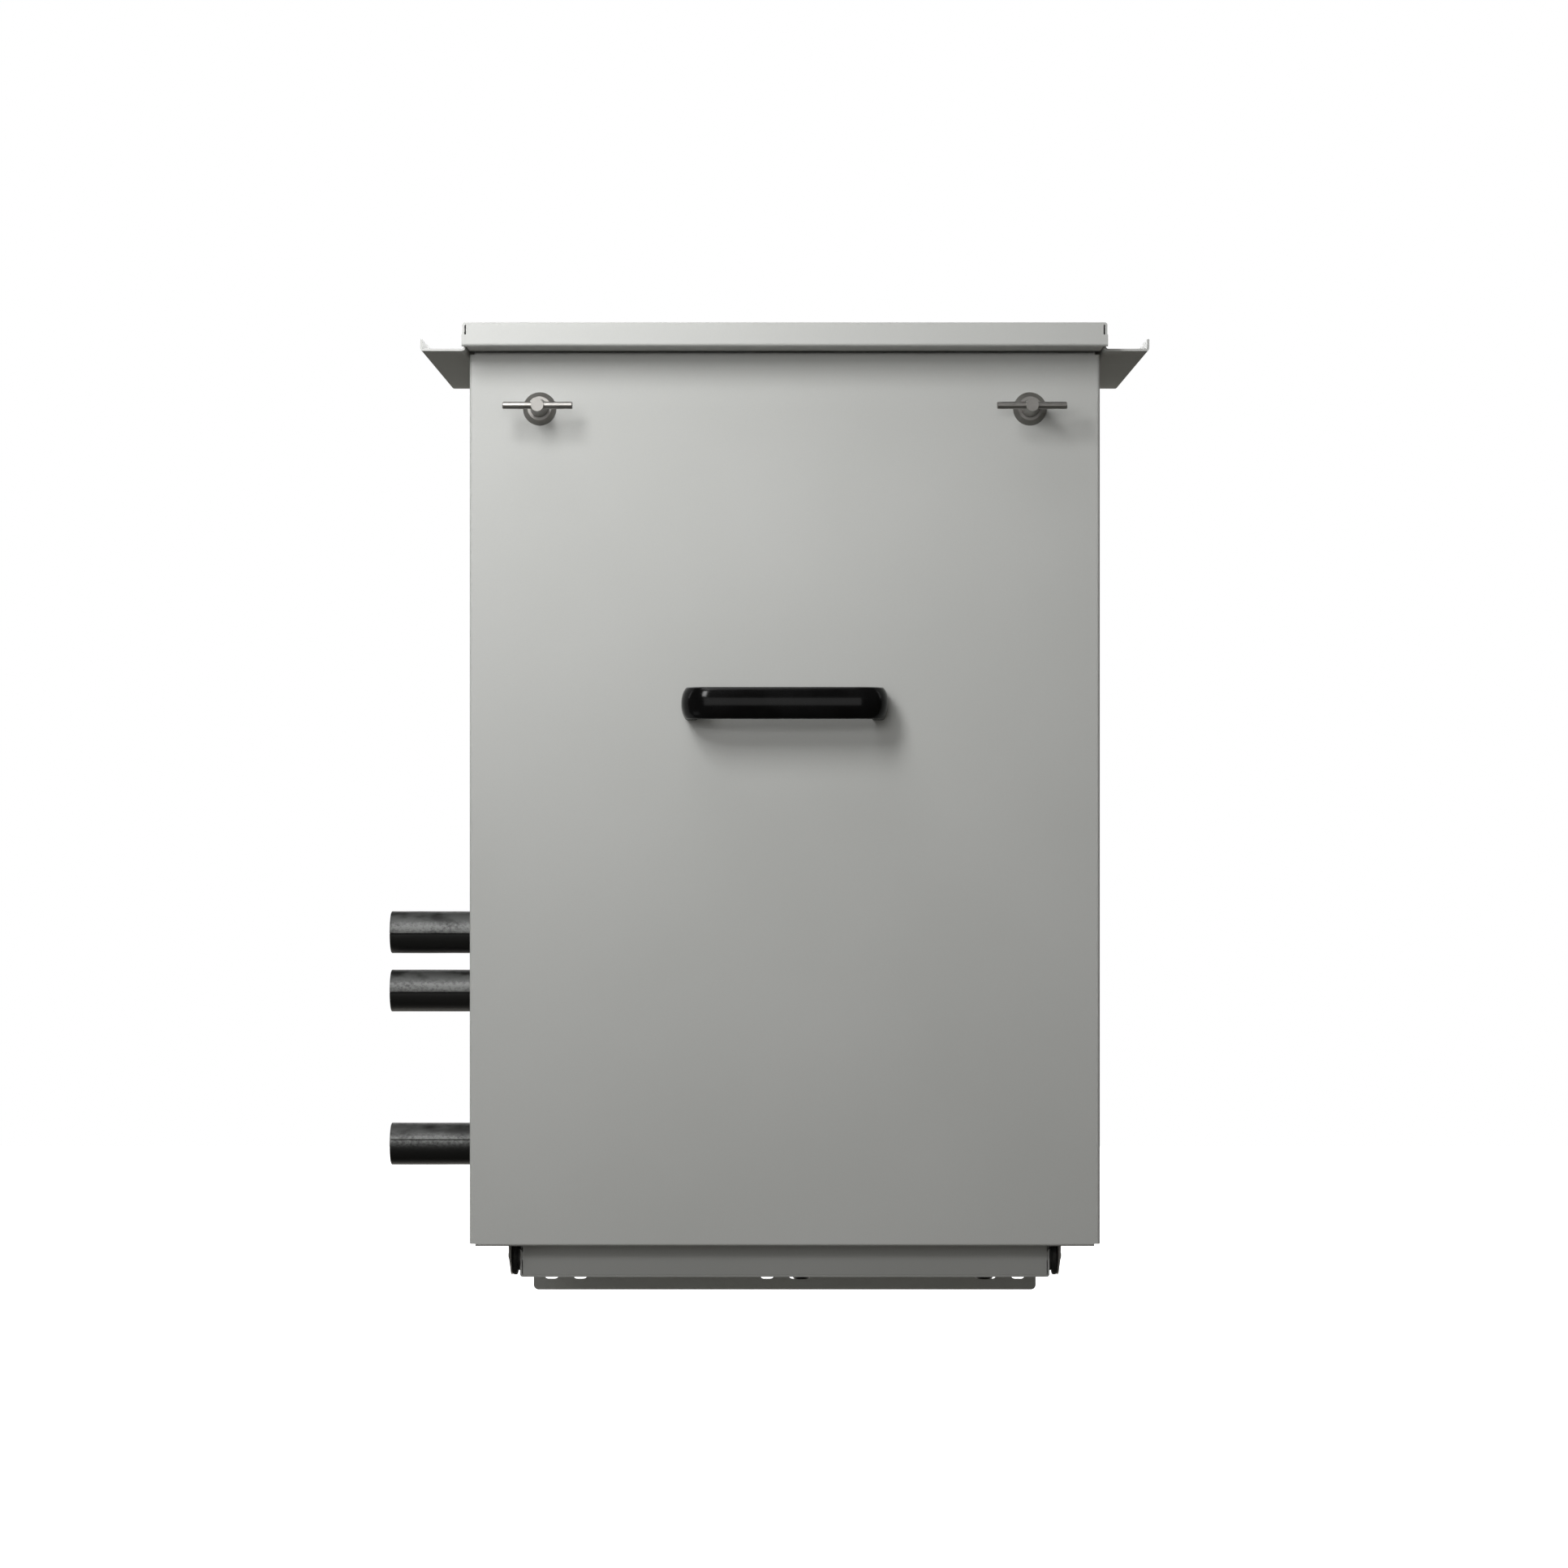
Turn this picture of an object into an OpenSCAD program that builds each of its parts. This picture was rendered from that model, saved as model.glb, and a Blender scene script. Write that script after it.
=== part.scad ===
// Wall-hung service cabinet with a drop-down door, a folded roof cap with
// hanger flanges, three insulated refrigerant lines and a cold-storage tank.
// Millimetres, +X right, +Y into the wall, +Z up. The origin is on the wall
// plane, in the middle of the lower row of wall slots.

/* [Wall plate] */
// Width of the plate that bolts to the wall
plate_w = 485.5; // [460:1:520]
// Thickness of the wall plate
plate_t = 3; // [2:0.5:5]
// Radius of the wall plate's corners
plate_corner_r = 4.7; // [2:0.1:10]
// Distance from a slot row to the end of the plate
plate_edge = 14.7; // [12:0.1:25]
// Length of a wall slot, end to end
slot_l = 14.3; // [10:0.1:20]
// Width of a wall slot
slot_w = 8.7; // [6:0.1:9]
// Half the distance between the two outermost slots
slot_outer_x = 225.5; // [215:0.5:230]
// Distance between the two slots of a pair
slot_pitch = 27.7; // [22:0.1:40]
// Sideways place of the middle pair of slots
slot_middle_x = -3.2; // [-20:0.1:20]
// Distance from the roof to the upper row of slots
slot_over_roof = 10.5; // [9:0.5:30]

/* [Cabinet] */
// Depth from the wall to the front frame
cab_depth = 270; // [225:1:330]
// Height of the cabinet body
cab_h = 803.5; // [665:1:970]
// Sheet thickness of the cabinet body
cab_t = 1.5; // [1:0.1:2]
// Width of the front frame's stiles
stile_w = 26; // [20:1:35]
// Height of the header above the door opening
header_h = 39.5; // [34:0.5:60]
// Height of the sill under the door opening
sill_h = 22; // [12:1:30]

/* [Base tray] */
// Overall width of the tray
tray_w = 474.6; // [440:1:500]
// Height of the tray's underside above the lower slots
tray_z = 32.4; // [28:0.1:60]
// Height of the tray
tray_h = 41.6; // [38:0.1:50]
// Sheet thickness of the tray
tray_t = 1.7; // [1.2:0.1:2]
// Set-back of the tray behind the front frame
tray_setback = 5; // [3:0.5:10]

/* [Roof cap] */
// Sheet thickness of the roof and its flanges
roof_t = 2; // [1.5:0.1:3]
// Gap between the cabinet's sides and the roof's skirts
roof_gap = 3.2; // [2:0.1:6]
// Reach of the roof in front of the door
roof_reach = 39.5; // [30:0.5:60]
// Height of the roof's front skirt
roof_skirt = 20.9; // [18:0.1:40]
// Height of the upper, narrower part of the front skirt
roof_step = 10.6; // [6:0.1:14]
// Width of a hanger flange beyond the skirt
hanger_w = 38.2; // [25:0.1:60]
// Height of a hanger flange's lip
hanger_lip = 10.4; // [6:0.1:20]
// Set-back of the hanger flanges behind the roof's front
hanger_setback = 14.5; // [8:0.5:40]

/* [Door] */
// Width of the door
door_w = 560; // [500:1:620]
// Sheet thickness of the door
door_t = 1.5; // [1:0.1:2]
// Depth of the door's folded rim
door_d = 22; // [20:0.5:30]
// Outer radius of the folded edges
bend_r = 2.5; // [2.1:0.1:4]
// Reach of the door below the cabinet body
door_drop = 10.5; // [8:0.1:12]
// Gap between the door's top edge and the roof's flange
door_top_gap = 0.6; // [0.5:0.1:3]
// Gap between the door's rim and the front frame
door_back_gap = 3; // [2.5:0.1:5]
// Set-back of the open corners of the rim
door_relief = 5; // [4:0.5:10]

/* [Door pivots] */
// Diameter of the pivot bolts
pivot_d = 8; // [6:0.5:10]
// Distance of the pivot axis behind the front frame
pivot_back = 13.5; // [13.5:0.1:15]
// Height of the pivot axis above the tray's underside
pivot_rise = 18.6; // [18:0.1:22]
// Radius of the friction discs
disc_r = 17.5; // [15:0.5:18]
// Thickness of the friction discs
disc_t = 4.2; // [3:0.1:6]
// Thickness of the hinge straps
strap_t = 1.5; // [1:0.1:3]

/* [Door fittings] */
// Distance of each latch from the door's centre
latch_x = 217.7; // [190:0.1:225]
// Distance of the latches below the door's top edge
latch_drop = 50.5; // [45:0.5:80]
// Length of the latches' cross bars
latch_bar_l = 61.5; // [45:0.5:70]
// Diameter of the latches' cross bars
latch_bar_d = 6.35; // [5:0.05:8]
// Length of the latches' cams from the stem
cam_l = 45; // [38:0.5:50]
// Length of the pull handle
handle_l = 183; // [150:1:220]
// Width of the pull handle's grip
handle_w = 28; // [20:0.5:36]
// Reach of the pull handle in front of the door
handle_out = 42; // [35:0.5:60]
// Height of the pull handle above the door's bottom edge
handle_rise = 482; // [350:1:560]

/* [Lines] */
// Heights of the lower, middle and upper line above the cabinet floor
line_rise = [68.2, 209.6, 263.5];
// Distance of the lines from the wall
line_back = 165; // [140:1:190]
// Outer diameter of the copper lines
line_d = 12.7; // [9.5:0.05:15.9]
// Wall of the copper lines
line_t = 0.9; // [0.7:0.05:1.2]
// Outer diameter of the insulation sleeves
sleeve_d = 39; // [30:0.5:45]
// Length of each line outside the cabinet
line_out = 85; // [60:1:150]

/* [Cold store] */
// Room for the valves between the left wall and the tank's jacket
valve_room = 206.5; // [200:0.5:230]
// Gap between the jacket and the right wall
jacket_gap = 14.5; // [5:0.5:40]
// Room above the jacket for the control box
control_room = 292.5; // [240:0.5:312]
// Thickness of the jacket's foam
jacket_t = 25; // [20:1:40]
// Number of passes of the coil
coil_passes = 10; // [6:2:10]

/* [Hidden] */
$fn = 64;

sheet_grey = [0.74, 0.75, 0.74];
steel = [0.72, 0.71, 0.68];
copper = [0.72, 0.45, 0.30];
brass = [0.78, 0.66, 0.40];
black = [0.08, 0.08, 0.08];
foam = [0.12, 0.12, 0.12];

gap = 0.3;            // running gap between pieces that move on each other
bore_play = 0.05;     // radial play of a turning shaft in its bore
cut = 1;              // overshoot of a cutting solid

// Heights
cab_z = tray_z + tray_h;
cab_top = cab_z + cab_h;
roof_top = cab_top + roof_t;
skirt_z = roof_top - roof_skirt;
door_z = cab_z - door_drop;
door_top = skirt_z - door_top_gap;
door_h = door_top - door_z;
upper_row_z = roof_top + slot_over_roof;
jacket_z = cab_z + cab_t;
jacket_h = cab_top - control_room - jacket_z;
tank_t = 2;
lid_z = jacket_z + jacket_h - jacket_t - tank_t;

// Depths, from the wall towards the front
back_y = -plate_t;
frame_y = -cab_depth;
door_back_y = frame_y - door_back_gap;
door_y = door_back_y - door_d;
roof_y = door_y - roof_reach;
line_y = -line_back;

// Widths
cab_w = door_w - 4;
in_x = cab_w / 2 - cab_t;
jacket_x = -in_x + valve_room;
jacket_w = in_x - jacket_gap - jacket_x;
roof_x = cab_w / 2 + roof_gap + roof_t;
hanger_x = roof_x + hanger_w;

// Pivots
pivot_y = frame_y + pivot_back;
pivot_z = tray_z + pivot_rise;
spacer_t = 2.3;
disc_x = tray_w / 2 + spacer_t;
strap_x = disc_x + disc_t + gap;
head_x = strap_x + strap_t + gap;

// Latches
latch_z = door_top - latch_drop;
collar_r = 14.85;
collar_h = 6;
stem_r = 6;
cam_y = frame_y + 2 * cab_t + 1.5;
cam_t = 3;
cam_w = 18;
bar_y = door_y - 30.6;
stem_front_y = door_y - 36;

line_z = [for (rise = line_rise) cab_z + rise];
line_end_x = -cab_w / 2 - line_out;
line_bend = 20;

slot_xs = [
    -slot_outer_x, -slot_outer_x + slot_pitch,
    slot_middle_x - slot_pitch / 2, slot_middle_x + slot_pitch / 2,
    slot_outer_x - slot_pitch, slot_outer_x
];

// ---- shared shapes ----

// A box from its low corner to its high corner
module block(low, high) {
    translate(low) cube(high - low);
}

// A flat shape drawn as [x, y], stood up so that it shows [X, Z], from depth y0 to y1
module stand(y0, y1) {
    translate([0, y1, 0]) rotate([90, 0, 0]) linear_extrude(y1 - y0) children();
}

// A flat shape drawn as [x, y], turned so that it shows [Y, Z], from x0 to x1
module side(x0, x1) {
    translate([x0, 0, 0]) rotate([90, 0, 90]) linear_extrude(x1 - x0) children();
}

module mirrored() {
    children();
    mirror([1, 0, 0]) children();
}

module rod_x(p, r, l) {
    translate(p) rotate([0, 90, 0]) cylinder(r = r, h = l);
}

// A rod from p towards the front, l long
module rod_front(p, r, l) {
    translate(p) rotate([90, 0, 0]) cylinder(r = r, h = l);
}

module round_rect(w, h, r) {
    translate([r, 0]) square([w - 2 * r, h]);
    translate([0, r]) square([w, h - 2 * r]);
    for (x = [r, w - r], y = [r, h - r]) translate([x, y]) circle(r);
}

// The section of a sheet folded round a rectangle, w by h, all four sides
module folded_ring(w, h, t, r) {
    difference() {
        round_rect(w, h, r);
        translate([t, t]) round_rect(w - 2 * t, h - 2 * t, r - t);
    }
}

// A channel section: w wide, legs l long, its back along the first axis
module channel(w, l, t, r) {
    intersection() {
        folded_ring(w, 2 * l + 2 * r, t, r);
        square([w, l]);
    }
}

// One row of wall slots, as cutting shapes in [X, Z]
module slot_row(z) {
    for (x = slot_xs) {
        translate([x - (slot_l - slot_w) / 2, z - slot_w / 2]) square([slot_l - slot_w, slot_w]);
        for (s = [-1, 1]) translate([x + s * (slot_l - slot_w) / 2, z]) circle(d = slot_w);
    }
}

// A round bar along a route of square corners, each with bend radius r
module route(points, d, r) {
    last = len(points) - 1;
    for (i = [0 : last - 1]) {
        dir = (points[i + 1] - points[i]) / norm(points[i + 1] - points[i]);
        start = points[i] + dir * (i == 0 ? 0 : r);
        end = points[i + 1] - dir * (i + 1 == last ? 0 : r);
        axis_rod(start, dir, d / 2, norm(end - start));
        if (i + 1 < last) {
            next = (points[i + 2] - points[i + 1]) / norm(points[i + 2] - points[i + 1]);
            elbow(points[i + 1], dir, next, d / 2, r);
        }
    }
}

module axis_rod(p, dir, r, l) {
    turn = abs(dir[0]) > 0.5 ? [0, 90 * dir[0], 0] : abs(dir[1]) > 0.5 ? [-90 * dir[1], 0, 0]
        : [dir[2] > 0 ? 0 : 180, 0, 0];
    translate(p) rotate(turn) cylinder(r = r, h = l);
}

module elbow(p, dir, next, tube_r, r) {
    n = cross(-next, dir);
    c = p - dir * r + next * r;
    multmatrix([
        [-next[0], dir[0], n[0], c[0]],
        [-next[1], dir[1], n[1], c[1]],
        [-next[2], dir[2], n[2], c[2]],
        [0, 0, 0, 1]
    ]) rotate_extrude(angle = 90) translate([r, 0]) circle(tube_r);
}

// A hollow route
module tube(points, d, t, r) {
    difference() {
        route(points, d, r);
        route(points, d - 2 * t, r);
    }
}

// ---- wall plate and cabinet body ----

module wall_plate() {
    color(sheet_grey) stand(-plate_t, 0) difference() {
        translate([-plate_w / 2, -plate_edge])
            round_rect(plate_w, upper_row_z + 2 * plate_edge, plate_corner_r);
        slot_row(0);
        slot_row(upper_row_z);
    }
}

wrap_d = cab_depth - plate_t;

module cabinet_wrap() {
    color(sheet_grey) difference() {
        translate([0, 0, cab_z]) linear_extrude(cab_h) difference() {
            translate([-cab_w / 2, frame_y]) folded_ring(cab_w, wrap_d, cab_t, bend_r);
            translate([-cab_w / 2 + stile_w, frame_y - cut])
                square([cab_w - 2 * stile_w, cab_t + 2 * cut]);
        }
        for (z = line_z) rod_x([-cab_w / 2 - cut, line_y, z], grommet_seat_r, cab_t + 2 * cut);
        at_side_screws() screw_hole(cab_t + cut);
        at_back_screws() screw_hole(cab_t + cut);
    }
}

frame_in_x = cab_w / 2 - stile_w - gap;
rail_x = in_x - bend_r + cab_t;        // clear of the wrap's rounded corners

module cabinet_floor() {
    color(sheet_grey) union() {
        difference() {
            translate([-in_x, frame_y + cab_t, cab_z]) linear_extrude(cab_t)
                round_rect(2 * in_x, wrap_d - 2 * cab_t, bend_r - cab_t);
            for (x = gland_xs) translate([x, gland_y, cab_z - cut]) cylinder(r = 16, h = cab_t + 2 * cut);
        }
        // sill between the stiles, and the rail behind it that carries their feet
        block([-frame_in_x, frame_y, cab_z], [frame_in_x, frame_y + cab_t, cab_z + sill_h]);
        block([-rail_x, frame_y + cab_t, cab_z], [rail_x, frame_y + 2 * cab_t, cab_z + sill_h]);
    }
}

module cabinet_top() {
    top_flange = 14;
    color(sheet_grey) difference() {
        side(-in_x, in_x) translate([frame_y + 2 * cab_t, cab_top])
            mirror([0, 1]) channel(wrap_d - 2 * cab_t - bend_r, top_flange, cab_t, bend_r);
        at_roof_screws() screw_hole(roof_t + cab_t + cut);
    }
}

module front_header() {
    z = cab_top - header_h;
    color(sheet_grey) union() {
        block([-frame_in_x, frame_y, z], [frame_in_x, frame_y + cab_t, cab_top]);
        block([-rail_x, frame_y + cab_t, z], [rail_x, frame_y + 2 * cab_t, cab_top]);
    }
}

module base_tray() {
    tray_y = frame_y + tray_setback;
    tray_d = -tray_y - plate_t;
    corner_slit = 0.75;
    notch = 17.2;
    front_w = tray_w - 2 * tray_t - 2 * corner_slit;
    color(sheet_grey) difference() {
        union() {
            stand(tray_y, -plate_t) translate([-tray_w / 2, tray_z])
                channel(tray_w, tray_h, tray_t, bend_r);
            side(-front_w / 2, front_w / 2) translate([tray_y, tray_z])
                channel(tray_d, tray_h, tray_t, bend_r);
        }
        // the open front corners, stepped down at the top
        mirrored() block([front_w / 2, tray_y - cut, tray_z + tray_h - notch],
            [tray_w / 2 + cut, tray_y + 6, tray_z + tray_h + cut]);
        mirrored() block([front_w / 2, tray_y - cut, tray_z + bend_r],
            [tray_w / 2 - tray_t, tray_y + 4, tray_z + tray_h + cut]);
        mirrored() rod_x([tray_w / 2 - tray_t - cut, pivot_y, pivot_z], pivot_d / 2, tray_t + 2 * cut);
        for (x = gland_xs) translate([x, gland_y, tray_z - cut])
            cylinder(r = gland_thread_r, h = tray_t + 2 * cut);
    }
}

// ---- roof cap ----

module roof_cap() {
    hanger_y = roof_y + hanger_setback;
    hanger_end_y = -8;
    hanger_top = skirt_z - 0.5;
    hanger_low = hanger_top - roof_t;
    fold = 2 * roof_t;                     // outer radius of the fold from skirt to flange
    return_end_y = door_y - 3;
    slit_x = roof_x - roof_t - 1.3;
    lap = 0.6;
    step_z = roof_top - roof_step;
    color(sheet_grey) union() {
        // top sheet and side skirts, the skirts cut back behind the front skirt's lower part
        difference() {
            stand(roof_y, back_y) translate([-roof_x, roof_top]) mirror([0, 1])
                channel(2 * roof_x, roof_top - hanger_top - roof_t, roof_t, bend_r);
            block([-roof_x - cut, roof_y - cut, 0], [roof_x + cut, roof_y + roof_t, step_z]);
            at_roof_screws() screw_hole(roof_t + cut);
        }
        // front skirt with its inward flange; the upper part is narrower, between two slits
        difference() {
            side(-roof_x - lap, roof_x + lap) translate([roof_y, skirt_z]) difference() {
                folded_ring(return_end_y - roof_y + bend_r + 4, roof_skirt, roof_t, bend_r);
                translate([return_end_y - roof_y, -cut]) square([60, roof_skirt + 2 * cut]);
            }
            mirrored() block([slit_x, roof_y - cut, step_z], [roof_x + lap + cut, 0, roof_top + cut]);
            mirrored() block([slit_x, roof_y + roof_t, 0], [roof_x + lap + cut, 0, roof_top + cut]);
            at_roof_screws() screw_hole(roof_t + cut);
        }
        // hanger flanges: the skirts folded outwards, with a lip along the outer edge
        mirrored() stand(hanger_y, hanger_end_y) {
            translate([roof_x - roof_t + fold, hanger_low + fold]) quarter(fold, roof_t, 180);
            translate([roof_x - roof_t + fold, hanger_low])
                square([hanger_x - bend_r - roof_x + roof_t - fold, roof_t]);
            translate([hanger_x - bend_r, hanger_low + bend_r]) quarter(bend_r, roof_t, 270);
            translate([hanger_x - roof_t, hanger_low + bend_r])
                square([roof_t, hanger_lip - bend_r]);
        }
    }
}

// A quarter of a ring of thickness t, from the angle given
module quarter(r, t, from) {
    rotate(from) intersection() {
        difference() {
            circle(r);
            circle(r - t);
        }
        square(r);
    }
}

// One button-head screw or rivet: head towards +Z at z = 0, shank below
module screw(head_r, head_h, shank_r, shank_l) {
    rotate_extrude() {
        intersection() {
            translate([0, head_h - cap_r(head_r, head_h)]) circle(cap_r(head_r, head_h));
            square([head_r + cut, head_h + cut]);
        }
        translate([0, -shank_l]) square([shank_r, shank_l]);
    }
}

function cap_r(a, h) = (a * a + h * h) / (2 * h);

panel_screw_r = 2;

module panel_screw(shank_l) {
    screw(4.5, 2.4, panel_screw_r, shank_l);
}

module at_roof_screws() {
    for (x = [-0.42, -0.14, 0.14, 0.42], y = [-0.12, -0.9])
        translate([x * cab_w, y * cab_depth, roof_top]) children();
}

module at_side_screws() {
    mirrored() for (y = [-0.2, -0.5, -0.8]) translate([cab_w / 2, y * cab_depth, cab_z + sill_h / 2])
        rotate([0, 90, 0]) children();
}

module at_back_screws() {
    for (x = [20, 87], z = [0.08, 0.5, 0.9])
        translate([x - plate_w / 2, back_y - cab_t, cab_z + z * cab_h]) rotate([90, 0, 0]) children();
}

module at_cover_screws() {
    for (x = [box_x + 10, box_x + box_w - 10], z = [box_z + 10, box_z + box_h - 10])
        translate([x, box_front_y - cover_t, z]) rotate([90, 0, 0]) children();
}

// The same screw everywhere: roof, cabinet sides, cabinet back and control cover
module panel_screws() {
    color(steel) {
        at_roof_screws() panel_screw(roof_t + cab_t);
        at_side_screws() panel_screw(cab_t);
        at_back_screws() panel_screw(cab_t);
        at_cover_screws() panel_screw(cover_t + 6);
    }
}

// The hole for a screw's shank, l deep
module screw_hole(l) {
    translate([0, 0, -l]) cylinder(r = panel_screw_r, h = l + cut);
}

// ---- lines ----

// half the room between the two closest sleeves, which limits the grommets' reach
sleeve_room = (min([for (i = [1 : len(line_z) - 1]) line_z[i] - line_z[i - 1]]) - sleeve_d) / 2;
grommet_reach = min(5, sleeve_room - gap);
grommet_seat_r = sleeve_d / 2 + 0.4 * grommet_reach;
grommet_rim = 0.6 * grommet_reach;
grommet_t = 4;

module pipe_grommets() {
    color(black) for (z = line_z) difference() {
        union() {
            rod_x([-cab_w / 2 - grommet_t, line_y, z], grommet_seat_r + grommet_rim, grommet_t);
            rod_x([-cab_w / 2, line_y, z], grommet_seat_r, cab_t);
            rod_x([-cab_w / 2 + cab_t, line_y, z], grommet_seat_r + grommet_rim, grommet_t);
        }
        rod_x([-cab_w / 2 - grommet_t - cut, line_y, z], sleeve_d / 2, 2 * grommet_t + cab_t + 2 * cut);
    }
}

socket_l = 12;
socket_r = line_d / 2 + 0.05;
socket_wall = 0.8;
sleeve_end_x = -cab_w / 2 + 12;
valve_x = -cab_w / 2 + 28;     // left end of the ball valves
valve_l = 50;
cup_l = 10;

module sleeve(i) {
    color(foam) difference() {
        rod_x([line_end_x, line_y, line_z[i]], sleeve_d / 2, sleeve_end_x - line_end_x);
        rod_x([line_end_x - cut, line_y, line_z[i]], line_d / 2, sleeve_end_x - line_end_x + 2 * cut);
        // the foam stands clear of the socket's shoulder
        rod_x([line_end_x - cut, line_y, line_z[i]], socket_r + socket_wall, socket_l + 1.5 + cut);
    }
}

// The outer stub of a line: a swaged socket at its free end, then plain tube to the valve
module line_stub(i) {
    stub_end_x = valve_x + cup_l;
    difference() {
        union() {
            rod_x([line_end_x, line_y, line_z[i]], socket_r + socket_wall, socket_l);
            rod_x([line_end_x + socket_l, line_y, line_z[i]],
                line_d / 2, stub_end_x - line_end_x - socket_l);
        }
        rod_x([line_end_x - cut, line_y, line_z[i]], socket_r, socket_l + cut);
        rod_x([line_end_x, line_y, line_z[i]], line_d / 2 - line_t, stub_end_x - line_end_x + cut);
    }
}

expansion_l = 36;
expansion_x = jacket_x - expansion_l - 4;
solenoid_l = 44;
solenoid_x = expansion_x - solenoid_l - 6;
check_l = 52;
check_x = jacket_x - check_l - 40;
riser_x = jacket_x - 42;
relief_x = jacket_x - 85;
coil_x0 = jacket_x + 90;
coil_x1 = jacket_x + jacket_w - 62;
// The middle line feeds the coil at a return bend on the left, 1.5, 3.5, 5.5 ... passes up:
// the lowest of these that lets every pass fit under the lid
coil_rise_max = lid_z - line_d / 2 - 6 - line_z[0];
feed_min = (coil_passes - 1) * (line_z[1] - line_z[0]) / coil_rise_max;
feed_pass = 1.5 + 2 * ceil((feed_min - 1.5) / 2);
coil_pitch = (line_z[1] - line_z[0]) / feed_pass;
coil_top_z = line_z[0] + (coil_passes - 1) * coil_pitch;
riser_bend = min(line_bend, (coil_top_z - line_z[2]) / 2 - 0.5);
wall_in_x = jacket_x + jacket_t + 2;
valve_out_x = valve_x + valve_l - cup_l;

module run_x(z, x0, x1) {
    tube([[x0, line_y, z], [x1, line_y, z]], line_d, line_t, line_bend);
}

module line_lower() {
    color(copper) {
        line_stub(0);
        run_x(line_z[0], valve_out_x, check_x + cup_l);
        run_x(line_z[0], check_x + check_l - cup_l, wall_in_x);
    }
}

module line_middle() {
    color(copper) {
        line_stub(1);
        run_x(line_z[1], valve_out_x, solenoid_x + cup_l);
        run_x(line_z[1], solenoid_x + solenoid_l - cup_l, expansion_x + cup_l);
        run_x(line_z[1], expansion_x + expansion_l - cup_l, wall_in_x);
    }
}

module line_upper() {
    color(copper) {
        line_stub(2);
        run_x(line_z[2], valve_out_x, relief_x - 4);
        tube([
            [relief_x + 4, line_y, line_z[2]], [riser_x, line_y, line_z[2]],
            [riser_x, line_y, coil_top_z], [wall_in_x, line_y, coil_top_z]
        ], line_d, line_t, riser_bend);
    }
}

bracket_y = line_y + grommet_seat_r + grommet_rim + 1;

module line_bracket() {
    x = -in_x;
    y = bracket_y;
    z0 = line_z[0] - 30;
    z1 = line_z[2] + 30;
    color(steel) union() {
        block([x, y, z0], [x + 26, y + 3, z1]);
        block([x, y, z0], [x + 2, y + 25, z1]);
    }
}

module pipe_clamps() {
    x0 = sleeve_end_x + 3;
    w = 10;
    color(steel) for (z = line_z) difference() {
        union() {
            rod_x([x0, line_y, z], line_d / 2 + 2.5, w);
            block([x0, line_y, z - 5], [x0 + w, bracket_y, z + 5]);
        }
        rod_x([x0 - cut, line_y, z], line_d / 2, w + 2 * cut);
    }
}

// ---- valves ----

lever_l = 50;
lever_t = 2.5;
stem_seat_y = line_y - 26;

module valve(i) {
    z = line_z[i];
    mid = valve_x + valve_l / 2;
    color(brass) difference() {
        union() {
            rod_x([valve_x, line_y, z], line_d / 2 + 2.5, valve_l);
            rod_x([valve_x + cup_l, line_y, z], 15, valve_l - 2 * cup_l);
            rod_front([mid, line_y, z], 8, -stem_seat_y + line_y);
            rod_front([mid, stem_seat_y, z], 4, lever_t + 3.5);
        }
        rod_x([valve_x - cut, line_y, z], line_d / 2, cup_l + cut);
        rod_x([valve_out_x, line_y, z], line_d / 2, cup_l + cut);
        rod_x([valve_x, line_y, z], line_d / 2 - line_t, valve_l);
    }
}

module lever(i) {
    z = line_z[i];
    mid = valve_x + valve_l / 2;
    y0 = stem_seat_y - gap - lever_t;
    color([0.75, 0.12, 0.10]) difference() {
        stand(y0, y0 + lever_t) {
            translate([mid, z]) circle(9);
            translate([mid, z - 5.5]) square([lever_l, 11]);
            translate([mid + lever_l, z]) circle(5.5);
        }
        rod_front([mid, y0 + lever_t + cut, z], 4 + bore_play, lever_t + 2 * cut);
    }
}

// An in-line body with a cup for the tube at each end
module inline_body(x, z, l, r) {
    difference() {
        union() {
            rod_x([x, line_y, z], line_d / 2 + 2, l);
            rod_x([x + cup_l, line_y, z], r, l - 2 * cup_l);
            children();
        }
        rod_x([x - cut, line_y, z], line_d / 2, cup_l + cut);
        rod_x([x + l - cup_l, line_y, z], line_d / 2, cup_l + cut);
        rod_x([x, line_y, z], line_d / 2 - line_t, l);
    }
}

solenoid_stem_y = line_y - 50;

module solenoid_valve() {
    mid = solenoid_x + solenoid_l / 2;
    color(brass) inline_body(solenoid_x, line_z[1], solenoid_l, 12) {
        rod_front([mid, line_y, line_z[1]], 10, 18);
        rod_front([mid, line_y, line_z[1]], 6, 50);
    }
}

module solenoid_coil() {
    mid = solenoid_x + solenoid_l / 2;
    y1 = line_y - 18;
    color(black) difference() {
        union() {
            block([mid - 16, y1 - 26, line_z[1] - 19], [mid + 16, y1, line_z[1] + 19]);
            block([mid - 9, y1 - 20, line_z[1] - 33], [mid + 9, y1 - 4, line_z[1] - 19]);
        }
        rod_front([mid, y1 + cut, line_z[1]], 6, 26 + 2 * cut);
    }
}

module expansion_valve() {
    mid = expansion_x + expansion_l / 2;
    color(brass) inline_body(expansion_x, line_z[1], expansion_l, 12) {
        rod_front([mid, line_y, line_z[1]], 9, 24);
        rod_front([mid, line_y - 24, line_z[1]], 15, 10);
    }
}

module check_valve() {
    color(brass) inline_body(check_x, line_z[0], check_l, 13);
}

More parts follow.
